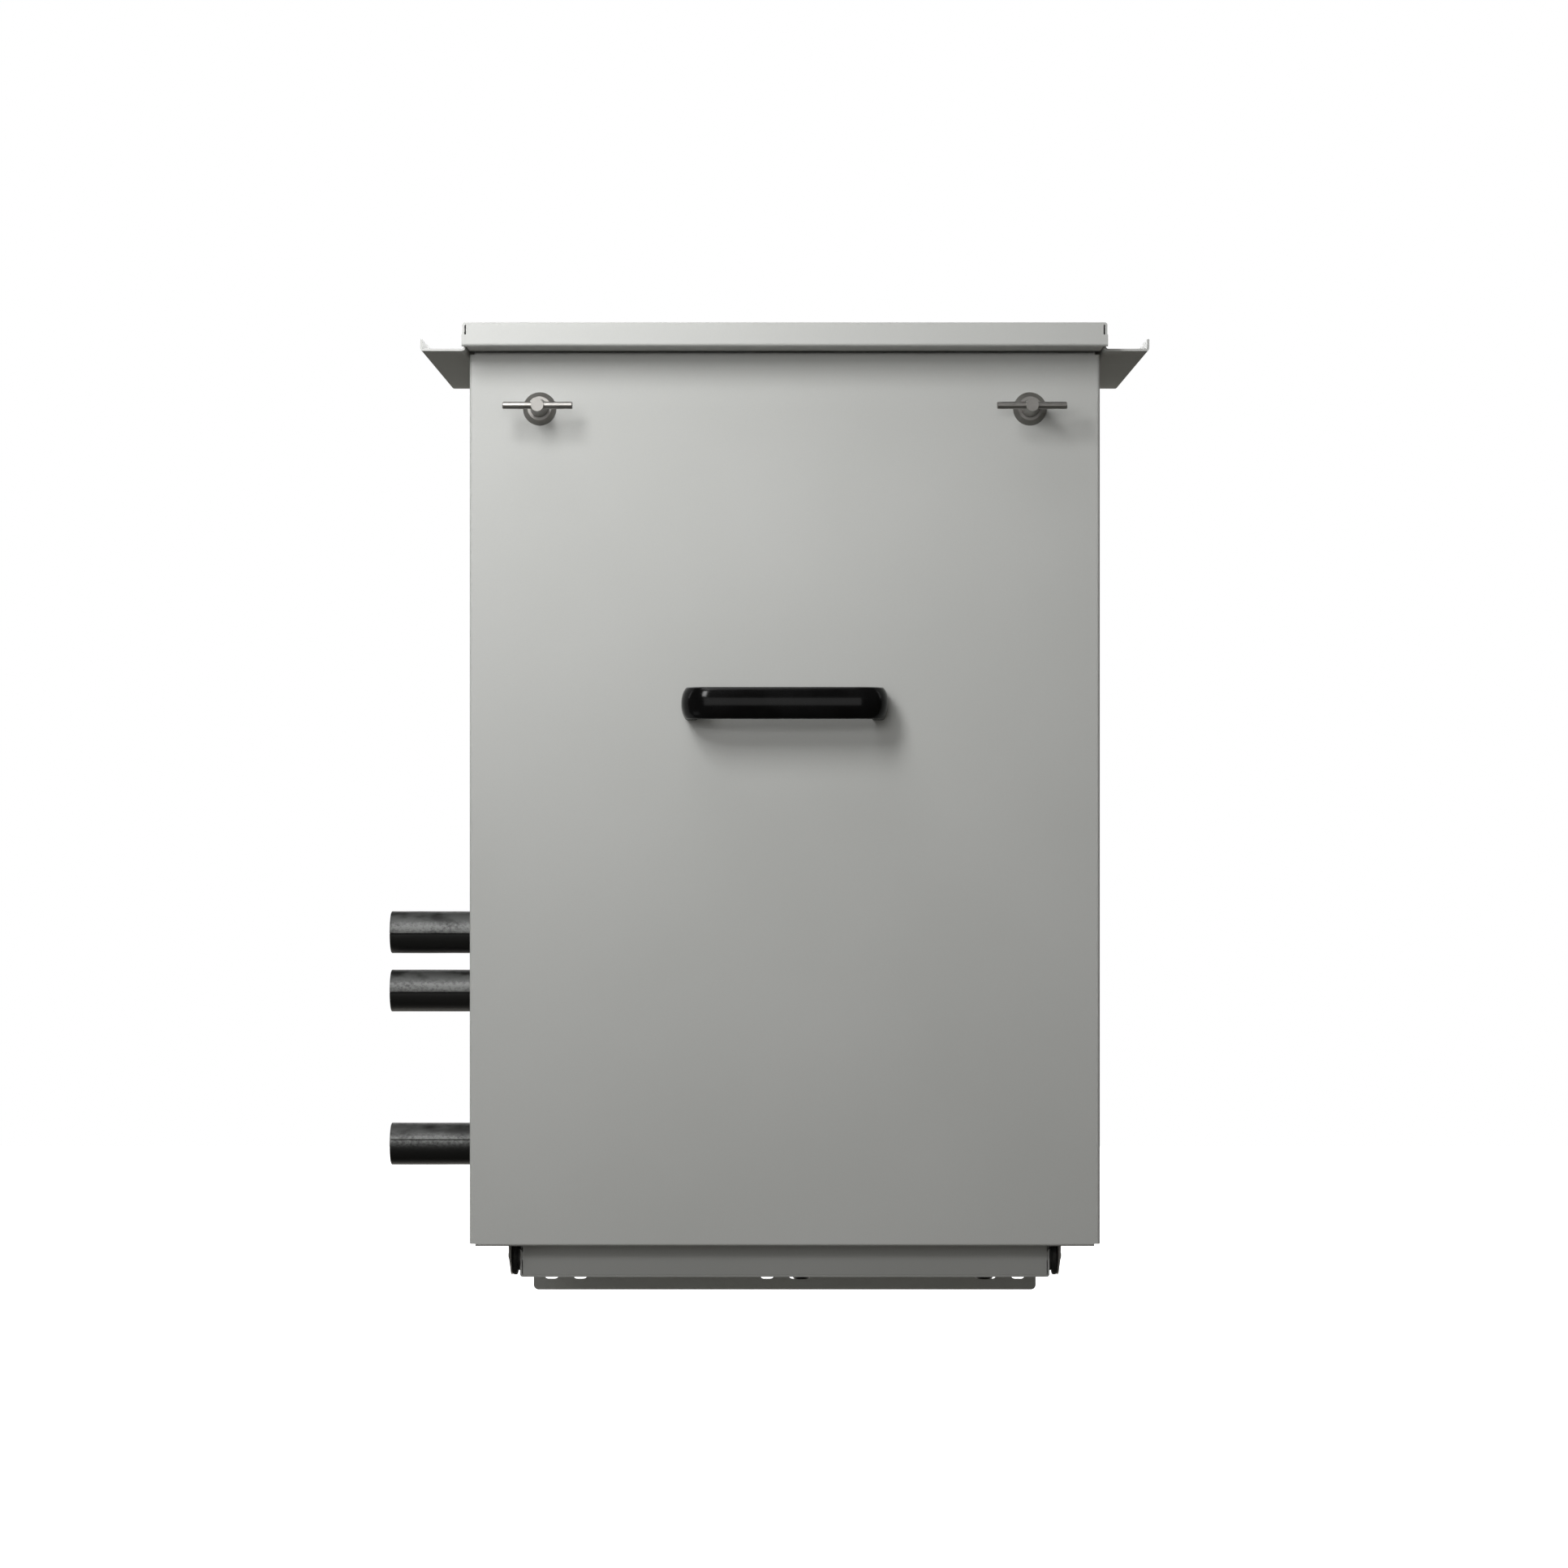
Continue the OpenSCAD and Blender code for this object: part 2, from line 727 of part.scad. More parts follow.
module relief_valve() {
    z = line_z[2];
    color(brass) difference() {
        union() {
            rod_x([relief_x - 14, line_y, z], line_d / 2 + 2, 28);
            translate([relief_x, line_y, z]) cylinder(r = 8, h = 22);
            translate([relief_x, line_y, z + 22]) cylinder(r = 12, h = 12, $fn = 6);
            translate([relief_x, line_y, z + 34]) cylinder(r = 9.5, h = 30);
        }
        rod_x([relief_x - 14 - cut, line_y, z], line_d / 2, 10 + cut);
        rod_x([relief_x + 4, line_y, z], line_d / 2, 10 + cut);
        rod_x([relief_x - 14, line_y, z], line_d / 2 - line_t, 28);
    }
}

// ---- cold store ----

jacket_y0 = -250;
jacket_y1 = -20;

module tank_jacket() {
    x1 = jacket_x + jacket_w;
    color([0.15, 0.15, 0.16]) difference() {
        block([jacket_x, jacket_y0, jacket_z], [x1, jacket_y1, jacket_z + jacket_h]);
        block([jacket_x + jacket_t, jacket_y0 + jacket_t, jacket_z + jacket_t],
            [x1 - jacket_t, jacket_y1 - jacket_t, jacket_z + jacket_h - jacket_t]);
        for (z = [line_z[0], line_z[1], coil_top_z])
            rod_x([jacket_x - cut, line_y, z], line_d / 2, jacket_t + 2 * cut);
    }
}

module tank_shell() {
    x0 = jacket_x + jacket_t;
    x1 = jacket_x + jacket_w - jacket_t;
    y0 = jacket_y0 + jacket_t;
    y1 = jacket_y1 - jacket_t;
    color(steel) difference() {
        block([x0, y0, jacket_z + jacket_t], [x1, y1, lid_z]);
        block([x0 + tank_t, y0 + tank_t, jacket_z + jacket_t + tank_t],
            [x1 - tank_t, y1 - tank_t, lid_z + cut]);
        for (z = [line_z[0], line_z[1], coil_top_z])
            rod_x([x0 - cut, line_y, z], line_d / 2, tank_t + 2 * cut);
    }
}

module tank_lid() {
    x0 = jacket_x + jacket_t;
    x1 = jacket_x + jacket_w - jacket_t;
    color(steel) block([x0, jacket_y0 + jacket_t, lid_z], [x1, jacket_y1 - jacket_t, lid_z + tank_t]);
}

module tank_straps() {
    strap_w = 20;
    t = 1.2;
    x0 = jacket_x - t;
    x1 = jacket_x + jacket_w + t;
    // between the lines that enter the jacket
    color(steel) for (z = [line_z[0] + 35, coil_top_z - 33])
        translate([0, 0, z]) linear_extrude(strap_w) difference() {
            union() {
                translate([x0, jacket_y0 - t]) square([x1 - x0, back_y - cab_t - jacket_y0 + t]);
                // feet on the cabinet's back
                translate([x0 - 14, back_y - cab_t - t]) square([14, t]);
            }
            translate([jacket_x, jacket_y0]) square([jacket_w, -jacket_y0]);
        }
}

// The serpentine coil, with the feed joining the middle of a return bend
module coil_path(d) {
    for (i = [0 : coil_passes - 1]) {
        z = line_z[0] + i * coil_pitch;
        first = i == 0 || i == coil_passes - 1 ? wall_in_x : coil_x0;
        rod_x([first, line_y, z], d / 2, coil_x1 - first);
        if (i < coil_passes - 1) translate([i % 2 == 0 ? coil_x1 : coil_x0, line_y, z + coil_pitch / 2])
            rotate([90, i % 2 == 0 ? 90 : -90, 0]) rotate_extrude(angle = 180)
                translate([coil_pitch / 2, 0]) circle(d / 2);
    }
}

module storage_coil() {
    color(copper) union() {
        coil_path(line_d);
        rod_x([wall_in_x, line_y, line_z[1]], line_d / 2, coil_x0 - coil_pitch / 2 - wall_in_x);
    }
}

module storage_packs() {
    x0 = jacket_x + jacket_t + tank_t + 2;
    x1 = jacket_x + jacket_w - jacket_t - tank_t - 2;
    z0 = jacket_z + jacket_t + tank_t;
    rows = 4;
    pack_h = (lid_z - z0 - 4) / rows;
    color([0.35, 0.60, 0.80]) for (i = [0 : rows - 1]) {
        z = z0 + i * pack_h;
        block([x0, line_y + 10, z], [x1, jacket_y1 - jacket_t - tank_t - 1, z + pack_h - 0.5]);
        block([x0, jacket_y0 + jacket_t + tank_t + 1, z], [x1, line_y - 10, z + pack_h - 0.5]);
    }
}

// ---- controls ----

box_x = jacket_x - 65;
box_w = 280;
box_h = 170;
box_d = 95;
box_t = 1.2;
cover_t = 1.2;
box_z = jacket_z + jacket_h + 36;
box_back_y = back_y - cab_t;
box_front_y = box_back_y - box_d;

module control_box() {
    in_low = [box_x + box_t, box_front_y, box_z + box_t];
    in_high = [box_x + box_w - box_t, box_back_y - box_t, box_z + box_h - box_t];
    lug = 16;
    color(sheet_grey) difference() {
        block([box_x, box_front_y, box_z], [box_x + box_w, box_back_y, box_z + box_h]);
        // the inside, less the corner lugs that take the cover's screws
        difference() {
            block(in_low - [0, cut, 0], in_high);
            for (x = [in_low[0] - cut, in_high[0] - lug], z = [in_low[2] - cut, in_high[2] - lug])
                block([x, box_front_y - 2 * cut, z], [x + lug + cut, box_front_y + 10, z + lug + cut]);
        }
        at_cover_screws() screw_hole(cover_t + 6);
        translate([duct_x + duct_w / 2, box_back_y - duct_d / 2, box_z - cut])
            cylinder(r = 9, h = box_t + 2 * cut);
    }
}

module control_cover() {
    color(sheet_grey) difference() {
        block([box_x, box_front_y - cover_t, box_z], [box_x + box_w, box_front_y, box_z + box_h]);
        at_cover_screws() screw_hole(cover_t + cut);
    }
}

rail_y = box_back_y - box_t;
rail_z = box_z + box_h / 2;
rail_t = 7.5;

module din_rail() {
    color(steel) side(box_x + 12, box_x + box_w - 12) {
        translate([rail_y - 1, rail_z - 12.5]) square([1, 25]);
        for (s = [-1, 1]) {
            translate([rail_y - rail_t, rail_z + s * 12 - 0.5]) square([rail_t, 1]);
            translate([rail_y - rail_t, rail_z + s * 15 - 3]) square([1, 6]);
        }
    }
}

module controller() {
    y1 = rail_y - rail_t;
    color([0.2, 0.22, 0.25]) union() {
        block([box_x + 26, y1 - 45, rail_z - 45], [box_x + 116, y1, rail_z + 45]);
        block([box_x + 34, y1 - 58, rail_z - 22], [box_x + 108, y1 - 45, rail_z + 22]);
    }
}

module terminal_blocks() {
    y1 = rail_y - rail_t;
    color([0.75, 0.74, 0.70]) for (i = [0 : 15]) {
        x = box_x + 140 + i * 6.2;
        block([x, y1 - 38, rail_z - 26], [x + 6, y1, rail_z + 26]);
    }
}

duct_x = jacket_x - 55;
duct_w = 30;
duct_d = 24;

// Slotted trunking from the floor to the control box
module wire_duct() {
    wall = 1.5;
    slot_rise = 22;
    z0 = cab_z + cab_t;
    slots = floor((box_z - z0) / slot_rise) - 2;
    color([0.6, 0.6, 0.6]) difference() {
        block([duct_x, box_back_y - duct_d, z0], [duct_x + duct_w, box_back_y, box_z]);
        block([duct_x + wall, box_back_y - duct_d + wall, z0 - cut],
            [duct_x + duct_w - wall, box_back_y - wall, box_z + cut]);
        for (i = [1 : slots]) block([duct_x + 6, box_back_y - duct_d - cut, z0 + i * slot_rise],
            [duct_x + duct_w - 6, box_back_y - duct_d + wall + cut, z0 + i * slot_rise + 8]);
    }
}

// ---- cable glands ----

gland_xs = [15.8, 187.5];
gland_y = -100;
gland_thread_r = 10;
gland_bore_r = 5;
gland_drop = 23.2;

module cable_glands() {
    color(black) for (x = gland_xs) translate([x, gland_y, tray_z]) difference() {
        union() {
            translate([0, 0, -6]) cylinder(r = 15, h = 6, $fn = 6);
            rotate_extrude() polygon([
                [0, -6], [12.5, -6], [12.5, -14], [10.5, -19], [7.4, -gland_drop], [0, -gland_drop]
            ]);
            cylinder(r = gland_thread_r, h = 10);
        }
        translate([0, 0, -gland_drop - cut]) cylinder(r = gland_bore_r, h = gland_drop + 10 + 2 * cut);
    }
}

module gland_nuts() {
    color(black) for (x = gland_xs) translate([x, gland_y, tray_z + tray_t]) difference() {
        cylinder(r = 14.5, h = 5, $fn = 6);
        translate([0, 0, -cut]) cylinder(r = gland_thread_r, h = 5 + 2 * cut);
    }
}

// ---- pivots ----

module pivot_bolts() {
    head_r = 7.1;
    head_h = 2.6;
    shank_l = head_x - tray_w / 2 + tray_t + 9;
    color(steel) mirrored() translate([head_x, pivot_y, pivot_z]) rotate([0, 90, 0])
        screw(head_r, head_h, pivot_d / 2, shank_l);
}

module pivot_discs() {
    rim = 1.5;
    color(black) mirrored() difference() {
        union() {
            rod_x([tray_w / 2, pivot_y, pivot_z], disc_r - 4, spacer_t);
            translate([disc_x, pivot_y, pivot_z]) rotate([0, 90, 0]) rotate_extrude() {
                square([disc_r - rim, disc_t]);
                translate([0, rim]) square([disc_r, disc_t - 2 * rim]);
                for (h = [rim, disc_t - rim]) translate([disc_r - rim, h]) circle(rim);
            }
        }
        rod_x([tray_w / 2 - cut, pivot_y, pivot_z], pivot_d / 2, spacer_t + disc_t + 2 * cut);
    }
}

module pivot_nuts() {
    nut_t = 7;
    color(steel) mirrored() difference() {
        translate([tray_w / 2 - tray_t - nut_t, pivot_y, pivot_z]) rotate([0, 90, 0])
            cylinder(r = 7.5, h = nut_t, $fn = 6);
        rod_x([tray_w / 2 - tray_t - nut_t - cut, pivot_y, pivot_z], pivot_d / 2, nut_t + 2 * cut);
    }
}

// ---- door ----

module door_panel() {
    half = door_w / 2;
    color(sheet_grey) difference() {
        union() {
            // face with its side rims
            translate([0, 0, door_z + 2.2]) linear_extrude(door_h - 4.4)
                translate([-half, door_y]) channel(door_w, door_d, door_t, bend_r);
            // face with its top and bottom rims, stopped short at the open corners
            side(-half + door_relief, half - door_relief) translate([door_y, door_z]) rotate(-90)
                mirror([1, 0]) channel(door_h, door_d, door_t, bend_r);
        }
        for (s = [-1, 1]) rod_front([s * latch_x, door_y + door_t + cut, latch_z], 10, door_t + 2 * cut);
        for (s = [-1, 1]) rod_front([s * handle_foot_x, door_y + door_t + cut, handle_z],
            2.5, door_t + 2 * cut);
        mirrored() block([strap_x - 0.5, door_y + door_t + 0.5, door_z - cut],
            [strap_x + strap_t + 0.5, door_back_y + cut, door_z + bend_r + cut]);
    }
}

frame_w = 16;
door_frame_x = door_w / 2 - 6;
door_frame_z = [door_z + 12, door_top - 6];
gasket_t = 5;
frame_back_y = frame_y - gap - gasket_t + 2;

// A frame of channel behind the door's face, open towards the face
module door_frame() {
    y0 = door_y + door_t;
    t = 1.2;
    x = door_frame_x;
    z0 = door_frame_z[0];
    z1 = door_frame_z[1];
    color(sheet_grey) difference() {
        block([-x, y0, z0], [x, frame_back_y, z1]);
        block([-x + frame_w, y0 - cut, z0 + frame_w], [x - frame_w, frame_back_y + cut, z1 - frame_w]);
        difference() {
            block([-x + t, y0 - cut, z0 + t], [x - t, frame_back_y - t, z1 - t]);
            block([-x + frame_w - t, y0 - 2 * cut, z0 + frame_w - t],
                [x - frame_w + t, frame_back_y, z1 - frame_w + t]);
        }
        mirrored() block([strap_x - 0.5, y0 - cut, z0 - cut],
            [strap_x + strap_t + 0.5, frame_back_y + cut, z0 + frame_w + cut]);
    }
}

module door_gasket() {
    w = 12;
    x = door_frame_x - 2;
    z0 = door_frame_z[0] + 2;
    z1 = door_frame_z[1] - 2;
    color(foam) difference() {
        block([-x, frame_back_y, z0], [x, frame_y - gap, z1]);
        block([-x + w, frame_back_y - cut, z0 + w], [x - w, frame_y, z1 - w]);
        mirrored() block([strap_x - 0.5, frame_back_y - cut, z0 - cut],
            [strap_x + strap_t + 0.5, frame_y, z0 + w + cut]);
    }
}

handle_z = door_z + handle_rise;
handle_foot_x = handle_l / 2 - 7;

// The bow handle: a bridge in plan, rounded at both ends in front view
module door_handle() {
    grip_t = 14;
    out_r = 26;
    color(black) difference() {
        intersection() {
            translate([0, 0, handle_z - handle_w / 2]) linear_extrude(handle_w) difference() {
                translate([-handle_l / 2, door_y - handle_out])
                    round_rect(handle_l, handle_out + 2 * out_r, out_r);
                translate([-handle_l / 2 + grip_t, door_y - handle_out + grip_t])
                    round_rect(handle_l - 2 * grip_t, handle_out + 2 * out_r, out_r - grip_t);
                translate([-handle_l / 2 - cut, door_y])
                    square([handle_l + 2 * cut, handle_out + 3 * out_r]);
            }
            stand(door_y - handle_out - cut, door_y + cut)
                translate([-handle_l / 2, handle_z - handle_w / 2]) round_rect(handle_l, handle_w, 6);
        }
        for (s = [-1, 1]) rod_front([s * handle_foot_x, door_y + cut, handle_z], 2.5, 12 + cut);
    }
}

module handle_screws() {
    color(steel) for (s = [-1, 1]) translate([s * handle_foot_x, door_y + door_t, handle_z])
        rotate([-90, 0, 0]) screw(5, 2.8, 2.5, 12 + door_t);
}

// Flat straps from the pivots up into the door, with a foot on the door's face
module hinge_straps() {
    y0 = door_y + door_t;
    foot_w = 22;
    strap_top = door_z + 70;
    arm_w = 16;
    color(steel) mirrored() difference() {
        union() {
            side(strap_x, strap_x + strap_t) {
                translate([pivot_y, pivot_z]) circle(disc_r - 0.2);
                polygon([
                    [pivot_y + 6, pivot_z + disc_r - 1.5], [pivot_y - 6, pivot_z - disc_r + 1.5],
                    [y0 + 4, pivot_z + 2], [y0, door_z + 6], [y0, strap_top], [y0 + arm_w, strap_top],
                    [y0 + arm_w, door_z + 9]
                ]);
            }
            block([strap_x - foot_w, y0, door_z + 30], [strap_x + strap_t, y0 + strap_t, strap_top]);
        }
        rod_x([strap_x - cut, pivot_y, pivot_z], pivot_d / 2 + bore_play, strap_t + 2 * cut);
    }
}

// ---- latches ----

module latch_collars() {
    seat_r = 10.5;
    color(steel) for (s = [-1, 1]) translate([s * latch_x, door_y, latch_z]) rotate([90, 0, 0])
        difference() {
            union() {
                cylinder(r1 = collar_r, r2 = seat_r, h = collar_h);
                translate([0, 0, -collar_back]) cylinder(r = 10, h = collar_back);
            }
            translate([0, 0, -collar_back - cut])
                cylinder(r = stem_r + bore_play, h = collar_back + collar_h + 2 * cut);
        }
}

collar_back = 12;

module latch_nuts() {
    nut_t = 5;
    color(steel) for (s = [-1, 1]) translate([s * latch_x, door_y + door_t + nut_t, latch_z])
        rotate([90, 0, 0]) difference() {
            cylinder(r = 15, h = nut_t, $fn = 6);
            translate([0, 0, -cut]) cylinder(r = 10, h = nut_t + 2 * cut);
        }
}

module latch_stem(s) {
    neck_y = door_y - collar_h - gap;
    neck_l = neck_y - stem_front_y;
    color(steel) difference() {
        union() {
            translate([s * latch_x, neck_y, latch_z]) rotate([90, 0, 0])
                cylinder(r1 = 8, r2 = 5.5, h = neck_l);
            rod_front([s * latch_x, cam_y, latch_z], stem_r, cam_y - neck_y);
            rod_front([s * latch_x, cam_y + cam_t, latch_z], 4, cam_t);
            rod_front([s * latch_x, cam_y + cam_t + 5, latch_z], 7, 5);
        }
        rod_x([s * latch_x - 10, bar_y, latch_z], latch_bar_d / 2, 20);
    }
}

module latch_bar(s) {
    chamfer = 0.6;
    color(steel) translate([s * latch_x - latch_bar_l / 2, bar_y, latch_z]) rotate([0, 90, 0]) {
        translate([0, 0, chamfer]) cylinder(d = latch_bar_d, h = latch_bar_l - 2 * chamfer);
        cylinder(d1 = latch_bar_d - 2 * chamfer, d2 = latch_bar_d, h = chamfer);
        translate([0, 0, latch_bar_l - chamfer])
            cylinder(d1 = latch_bar_d, d2 = latch_bar_d - 2 * chamfer, h = chamfer);
    }
}

// Each cam points to the door's centre when the latch is released
module latch_cam(s) {
    end_r = cam_w / 2;
    color(steel) difference() {
        stand(cam_y, cam_y + cam_t) translate([s * latch_x, latch_z]) {
            circle(end_r);
            translate([s < 0 ? 0 : end_r - cam_l, -end_r]) square([cam_l - end_r, cam_w]);
            translate([-s * (cam_l - end_r), 0]) circle(end_r);
        }
        rod_front([s * latch_x, cam_y + cam_t + cut, latch_z], 4, cam_t + 2 * cut);
    }
}

wall_plate();
cabinet_wrap();
cabinet_floor();
cabinet_top();
front_header();
roof_cap();
panel_screws();
base_tray();
pipe_grommets();
line_lower();
line_middle();
line_upper();
sleeve(0);  // sleeve_lower
sleeve(1);  // sleeve_middle
sleeve(2);  // sleeve_upper
line_bracket();
pipe_clamps();
valve(0);  // valve_lower
valve(1);  // valve_middle
valve(2);  // valve_upper
lever(0);  // lever_lower
lever(1);  // lever_middle
lever(2);  // lever_upper
solenoid_valve();
solenoid_coil();
expansion_valve();
check_valve();
relief_valve();
tank_shell();
tank_lid();
tank_jacket();
tank_straps();
storage_coil();
storage_packs();
control_box();
control_cover();
din_rail();
controller();
terminal_blocks();
wire_duct();
cable_glands();
gland_nuts();
pivot_bolts();
pivot_discs();
pivot_nuts();
door_panel();
door_frame();
door_gasket();
door_handle();
handle_screws();
hinge_straps();
latch_collars();
latch_nuts();
latch_stem(-1);  // latch_stem_left
latch_bar(-1);  // latch_bar_left
latch_cam(-1);  // latch_cam_left
latch_stem(1);  // latch_stem_right
latch_bar(1);  // latch_bar_right
latch_cam(1);  // latch_cam_right
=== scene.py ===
"""Wall-hung refrigeration service cabinet: a folded steel case with a drop-down door,
three insulated copper lines and a cold-storage tank. Metres, +X right, +Y to the wall, +Z up."""
import math

import bmesh
import bpy
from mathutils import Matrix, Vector, noise


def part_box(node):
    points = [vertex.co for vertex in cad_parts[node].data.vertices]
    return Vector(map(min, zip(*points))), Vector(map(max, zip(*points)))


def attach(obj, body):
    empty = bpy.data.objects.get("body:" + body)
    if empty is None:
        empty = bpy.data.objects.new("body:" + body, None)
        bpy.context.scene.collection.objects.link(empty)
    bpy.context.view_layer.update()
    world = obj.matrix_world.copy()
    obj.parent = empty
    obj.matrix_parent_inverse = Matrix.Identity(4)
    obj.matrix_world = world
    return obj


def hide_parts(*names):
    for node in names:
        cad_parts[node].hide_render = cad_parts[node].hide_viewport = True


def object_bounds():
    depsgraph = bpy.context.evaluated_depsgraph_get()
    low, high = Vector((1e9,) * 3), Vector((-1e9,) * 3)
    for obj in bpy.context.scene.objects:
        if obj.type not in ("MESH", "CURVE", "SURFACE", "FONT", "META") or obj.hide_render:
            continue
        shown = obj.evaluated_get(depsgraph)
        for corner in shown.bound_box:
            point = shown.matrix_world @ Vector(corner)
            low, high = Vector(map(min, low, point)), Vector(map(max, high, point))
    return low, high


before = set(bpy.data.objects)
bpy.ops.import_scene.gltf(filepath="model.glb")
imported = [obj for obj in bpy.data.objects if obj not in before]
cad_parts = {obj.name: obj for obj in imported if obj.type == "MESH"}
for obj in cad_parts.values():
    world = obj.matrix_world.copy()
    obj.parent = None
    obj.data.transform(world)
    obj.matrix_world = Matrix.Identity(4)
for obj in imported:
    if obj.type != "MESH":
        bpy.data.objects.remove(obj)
cad_low, cad_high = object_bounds()
MM = 0.001


# ---- Viewpoint ----
# A long lens set level with the middle of the cabinet, straight in front of the door. The door
# shows square on, and the hanger flanges draw in towards the wall.
DOOR_TO_LENS = 3.289
LENS_HEIGHT = 0.4743
LENS_SHIFT = -0.0007
door_low, door_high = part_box("door_panel")

lens = bpy.data.cameras.new("front_lens")
lens.lens = 85
lens.sensor_width = 36
lens.clip_start = 0.1
lens.clip_end = 100
viewpoint = bpy.data.objects.new("front_viewpoint", lens)
viewpoint.location = (LENS_SHIFT, door_low.y - DOOR_TO_LENS, LENS_HEIGHT)
viewpoint.rotation_euler = (math.radians(90), 0, 0)
bpy.context.scene.collection.objects.link(viewpoint)
bpy.context.scene.camera = viewpoint


# ---- Studio ----
# A white studio with a pale floor well below the hung cabinet. The main soft box stands near the
# door, high on its left. A wide one by the lens and one overhead fill in, and weak ones reach the
# undersides, the sides and the back.
class Signal:
    """One output of a shader node. Arithmetic on it adds Math nodes."""

    def __init__(self, tree, socket):
        self.tree = tree
        self.socket = socket

    @staticmethod
    def node(tree, kind, settings=None, sockets=None, out=0):
        """Adds a node with these settings and socket values or links. Returns its output."""
        made = tree.nodes.new(kind)
        for key, value in (settings or {}).items():
            setattr(made, key, value)
        for key, value in (sockets or {}).items():
            if isinstance(value, Signal):
                tree.links.new(value.socket, made.inputs[key])
            else:
                made.inputs[key].default_value = value
        return Signal(tree, made.outputs[out])

    def combine(self, operation, first, second):
        """The result of one Math node on two values."""
        sockets = {0: first, 1: second}
        return Signal.node(self.tree, "ShaderNodeMath", {"operation": operation}, sockets)

    def __add__(self, other):
        return self.combine("ADD", self, other)

    def __radd__(self, other):
        return self.combine("ADD", other, self)

    def __sub__(self, other):
        return self.combine("SUBTRACT", self, other)

    def __rsub__(self, other):
        return self.combine("SUBTRACT", other, self)

    def __mul__(self, other):
        return self.combine("MULTIPLY", self, other)

    def __rmul__(self, other):
        return self.combine("MULTIPLY", other, self)

    def band(self, low, high):
        """0 below low, 1 above high and a smooth step between them."""
        sockets = {"Value": self, "From Min": low, "From Max": high}
        settings = {"interpolation_type": "SMOOTHSTEP"}
        return Signal.node(self.tree, "ShaderNodeMapRange", settings, sockets)

    def blend(self, first, second):
        """A colour between first and second, with this value as the share of second."""
        ends = [end if isinstance(end, Signal) else (*end, 1) for end in (first, second)]
        sockets = {0: self, 6: ends[0], 7: ends[1]}
        return Signal.node(self.tree, "ShaderNodeMix", {"data_type": "RGBA"}, sockets, 2)


def grains(tree, size, detail=3, stretch=(1, 1, 1), rough=0.5):
    """Noise on the piece's own place, with grains of that size in metres."""
    place = Signal.node(tree, "ShaderNodeTexCoord", out=3)
    scaled = Signal.node(tree, "ShaderNodeMapping", sockets={0: place, "Scale": stretch})
    sockets = {"Vector": scaled, "Scale": 1 / size, "Detail": detail, "Roughness": rough}
    return Signal.node(tree, "ShaderNodeTexNoise", sockets=sockets)


def new_finish(name, **constants):
    """An empty finish whose shader has these constant sockets. Returns (finish, its tree)."""
    finish = bpy.data.materials.new(name)
    finish.use_nodes = True
    shader = finish.node_tree.nodes["Principled BSDF"]
    for socket, value in constants.items():
        shader.inputs[socket.replace("_", " ")].default_value = value
    return finish, finish.node_tree


def feed(tree, **signals):
    """Links signals to the shader's sockets, and bump=(height, strength, depth) to its Normal."""
    shader = tree.nodes["Principled BSDF"]
    for socket, signal in signals.items():
        if socket == "bump":
            height, strength, depth = signal
            sockets = {"Height": height, "Strength": strength, "Distance": depth}
            signal = Signal.node(tree, "ShaderNodeBump", sockets=sockets)
            socket = "Normal"
        tree.links.new(signal.socket, shader.inputs[socket.replace("_", " ")])


FLOOR_DROP = 0.45
FLOOR_SIZE = 12.0
floor_paint, tree = new_finish("studio_floor", Roughness=0.9, Emission_Strength=1.6)
speckle = grains(tree, 0.35, 2).band(0.3, 0.7)
feed(tree, Base_Color=speckle.blend((0.86, 0.86, 0.86), (0.90, 0.90, 0.90)),
     Emission_Color=speckle.blend((0.98, 0.98, 0.98), (1, 1, 1)))
floor_mesh = bpy.data.meshes.new("studio_floor")
half = FLOOR_SIZE / 2
floor_mesh.from_pydata([(-half, -half, 0), (half, -half, 0), (half, half, 0), (-half, half, 0)],
                       [], [(0, 1, 2, 3)])
floor_mesh.materials.append(floor_paint)
floor = bpy.data.objects.new("studio_floor", floor_mesh)
floor.location.z = cad_low.z - FLOOR_DROP
floor.visible_diffuse = False
floor.visible_glossy = False
bpy.context.scene.collection.objects.link(floor)

world = bpy.data.worlds.new("white_studio")
bpy.context.scene.world = world
world.use_nodes = True
tree = world.node_tree
seen = Signal.node(tree, "ShaderNodeLightPath")
sky = seen.blend((0.068, 0.065, 0.058), (1, 1, 1))
tree.links.new(sky.socket, tree.nodes["Background"].inputs["Color"])
bpy.context.scene.view_settings.view_transform = "Standard"


def soft_box(name, place, aim, width, height, power, colour=(1, 1, 1), mirrored=True):
    """A rectangular lamp. With mirrored off it gives light but shows in no reflection."""
    lamp = bpy.data.lights.new(name, "AREA")
    lamp.shape = "RECTANGLE"
    lamp.size = width
    lamp.size_y = height
    lamp.energy = power
    lamp.color = colour
    box = bpy.data.objects.new(name, lamp)
    box.visible_glossy = mirrored
    box.location = place
    box.rotation_euler = (Vector(aim) - Vector(place)).to_track_quat("-Z", "Y").to_euler()
    bpy.context.scene.collection.objects.link(box)


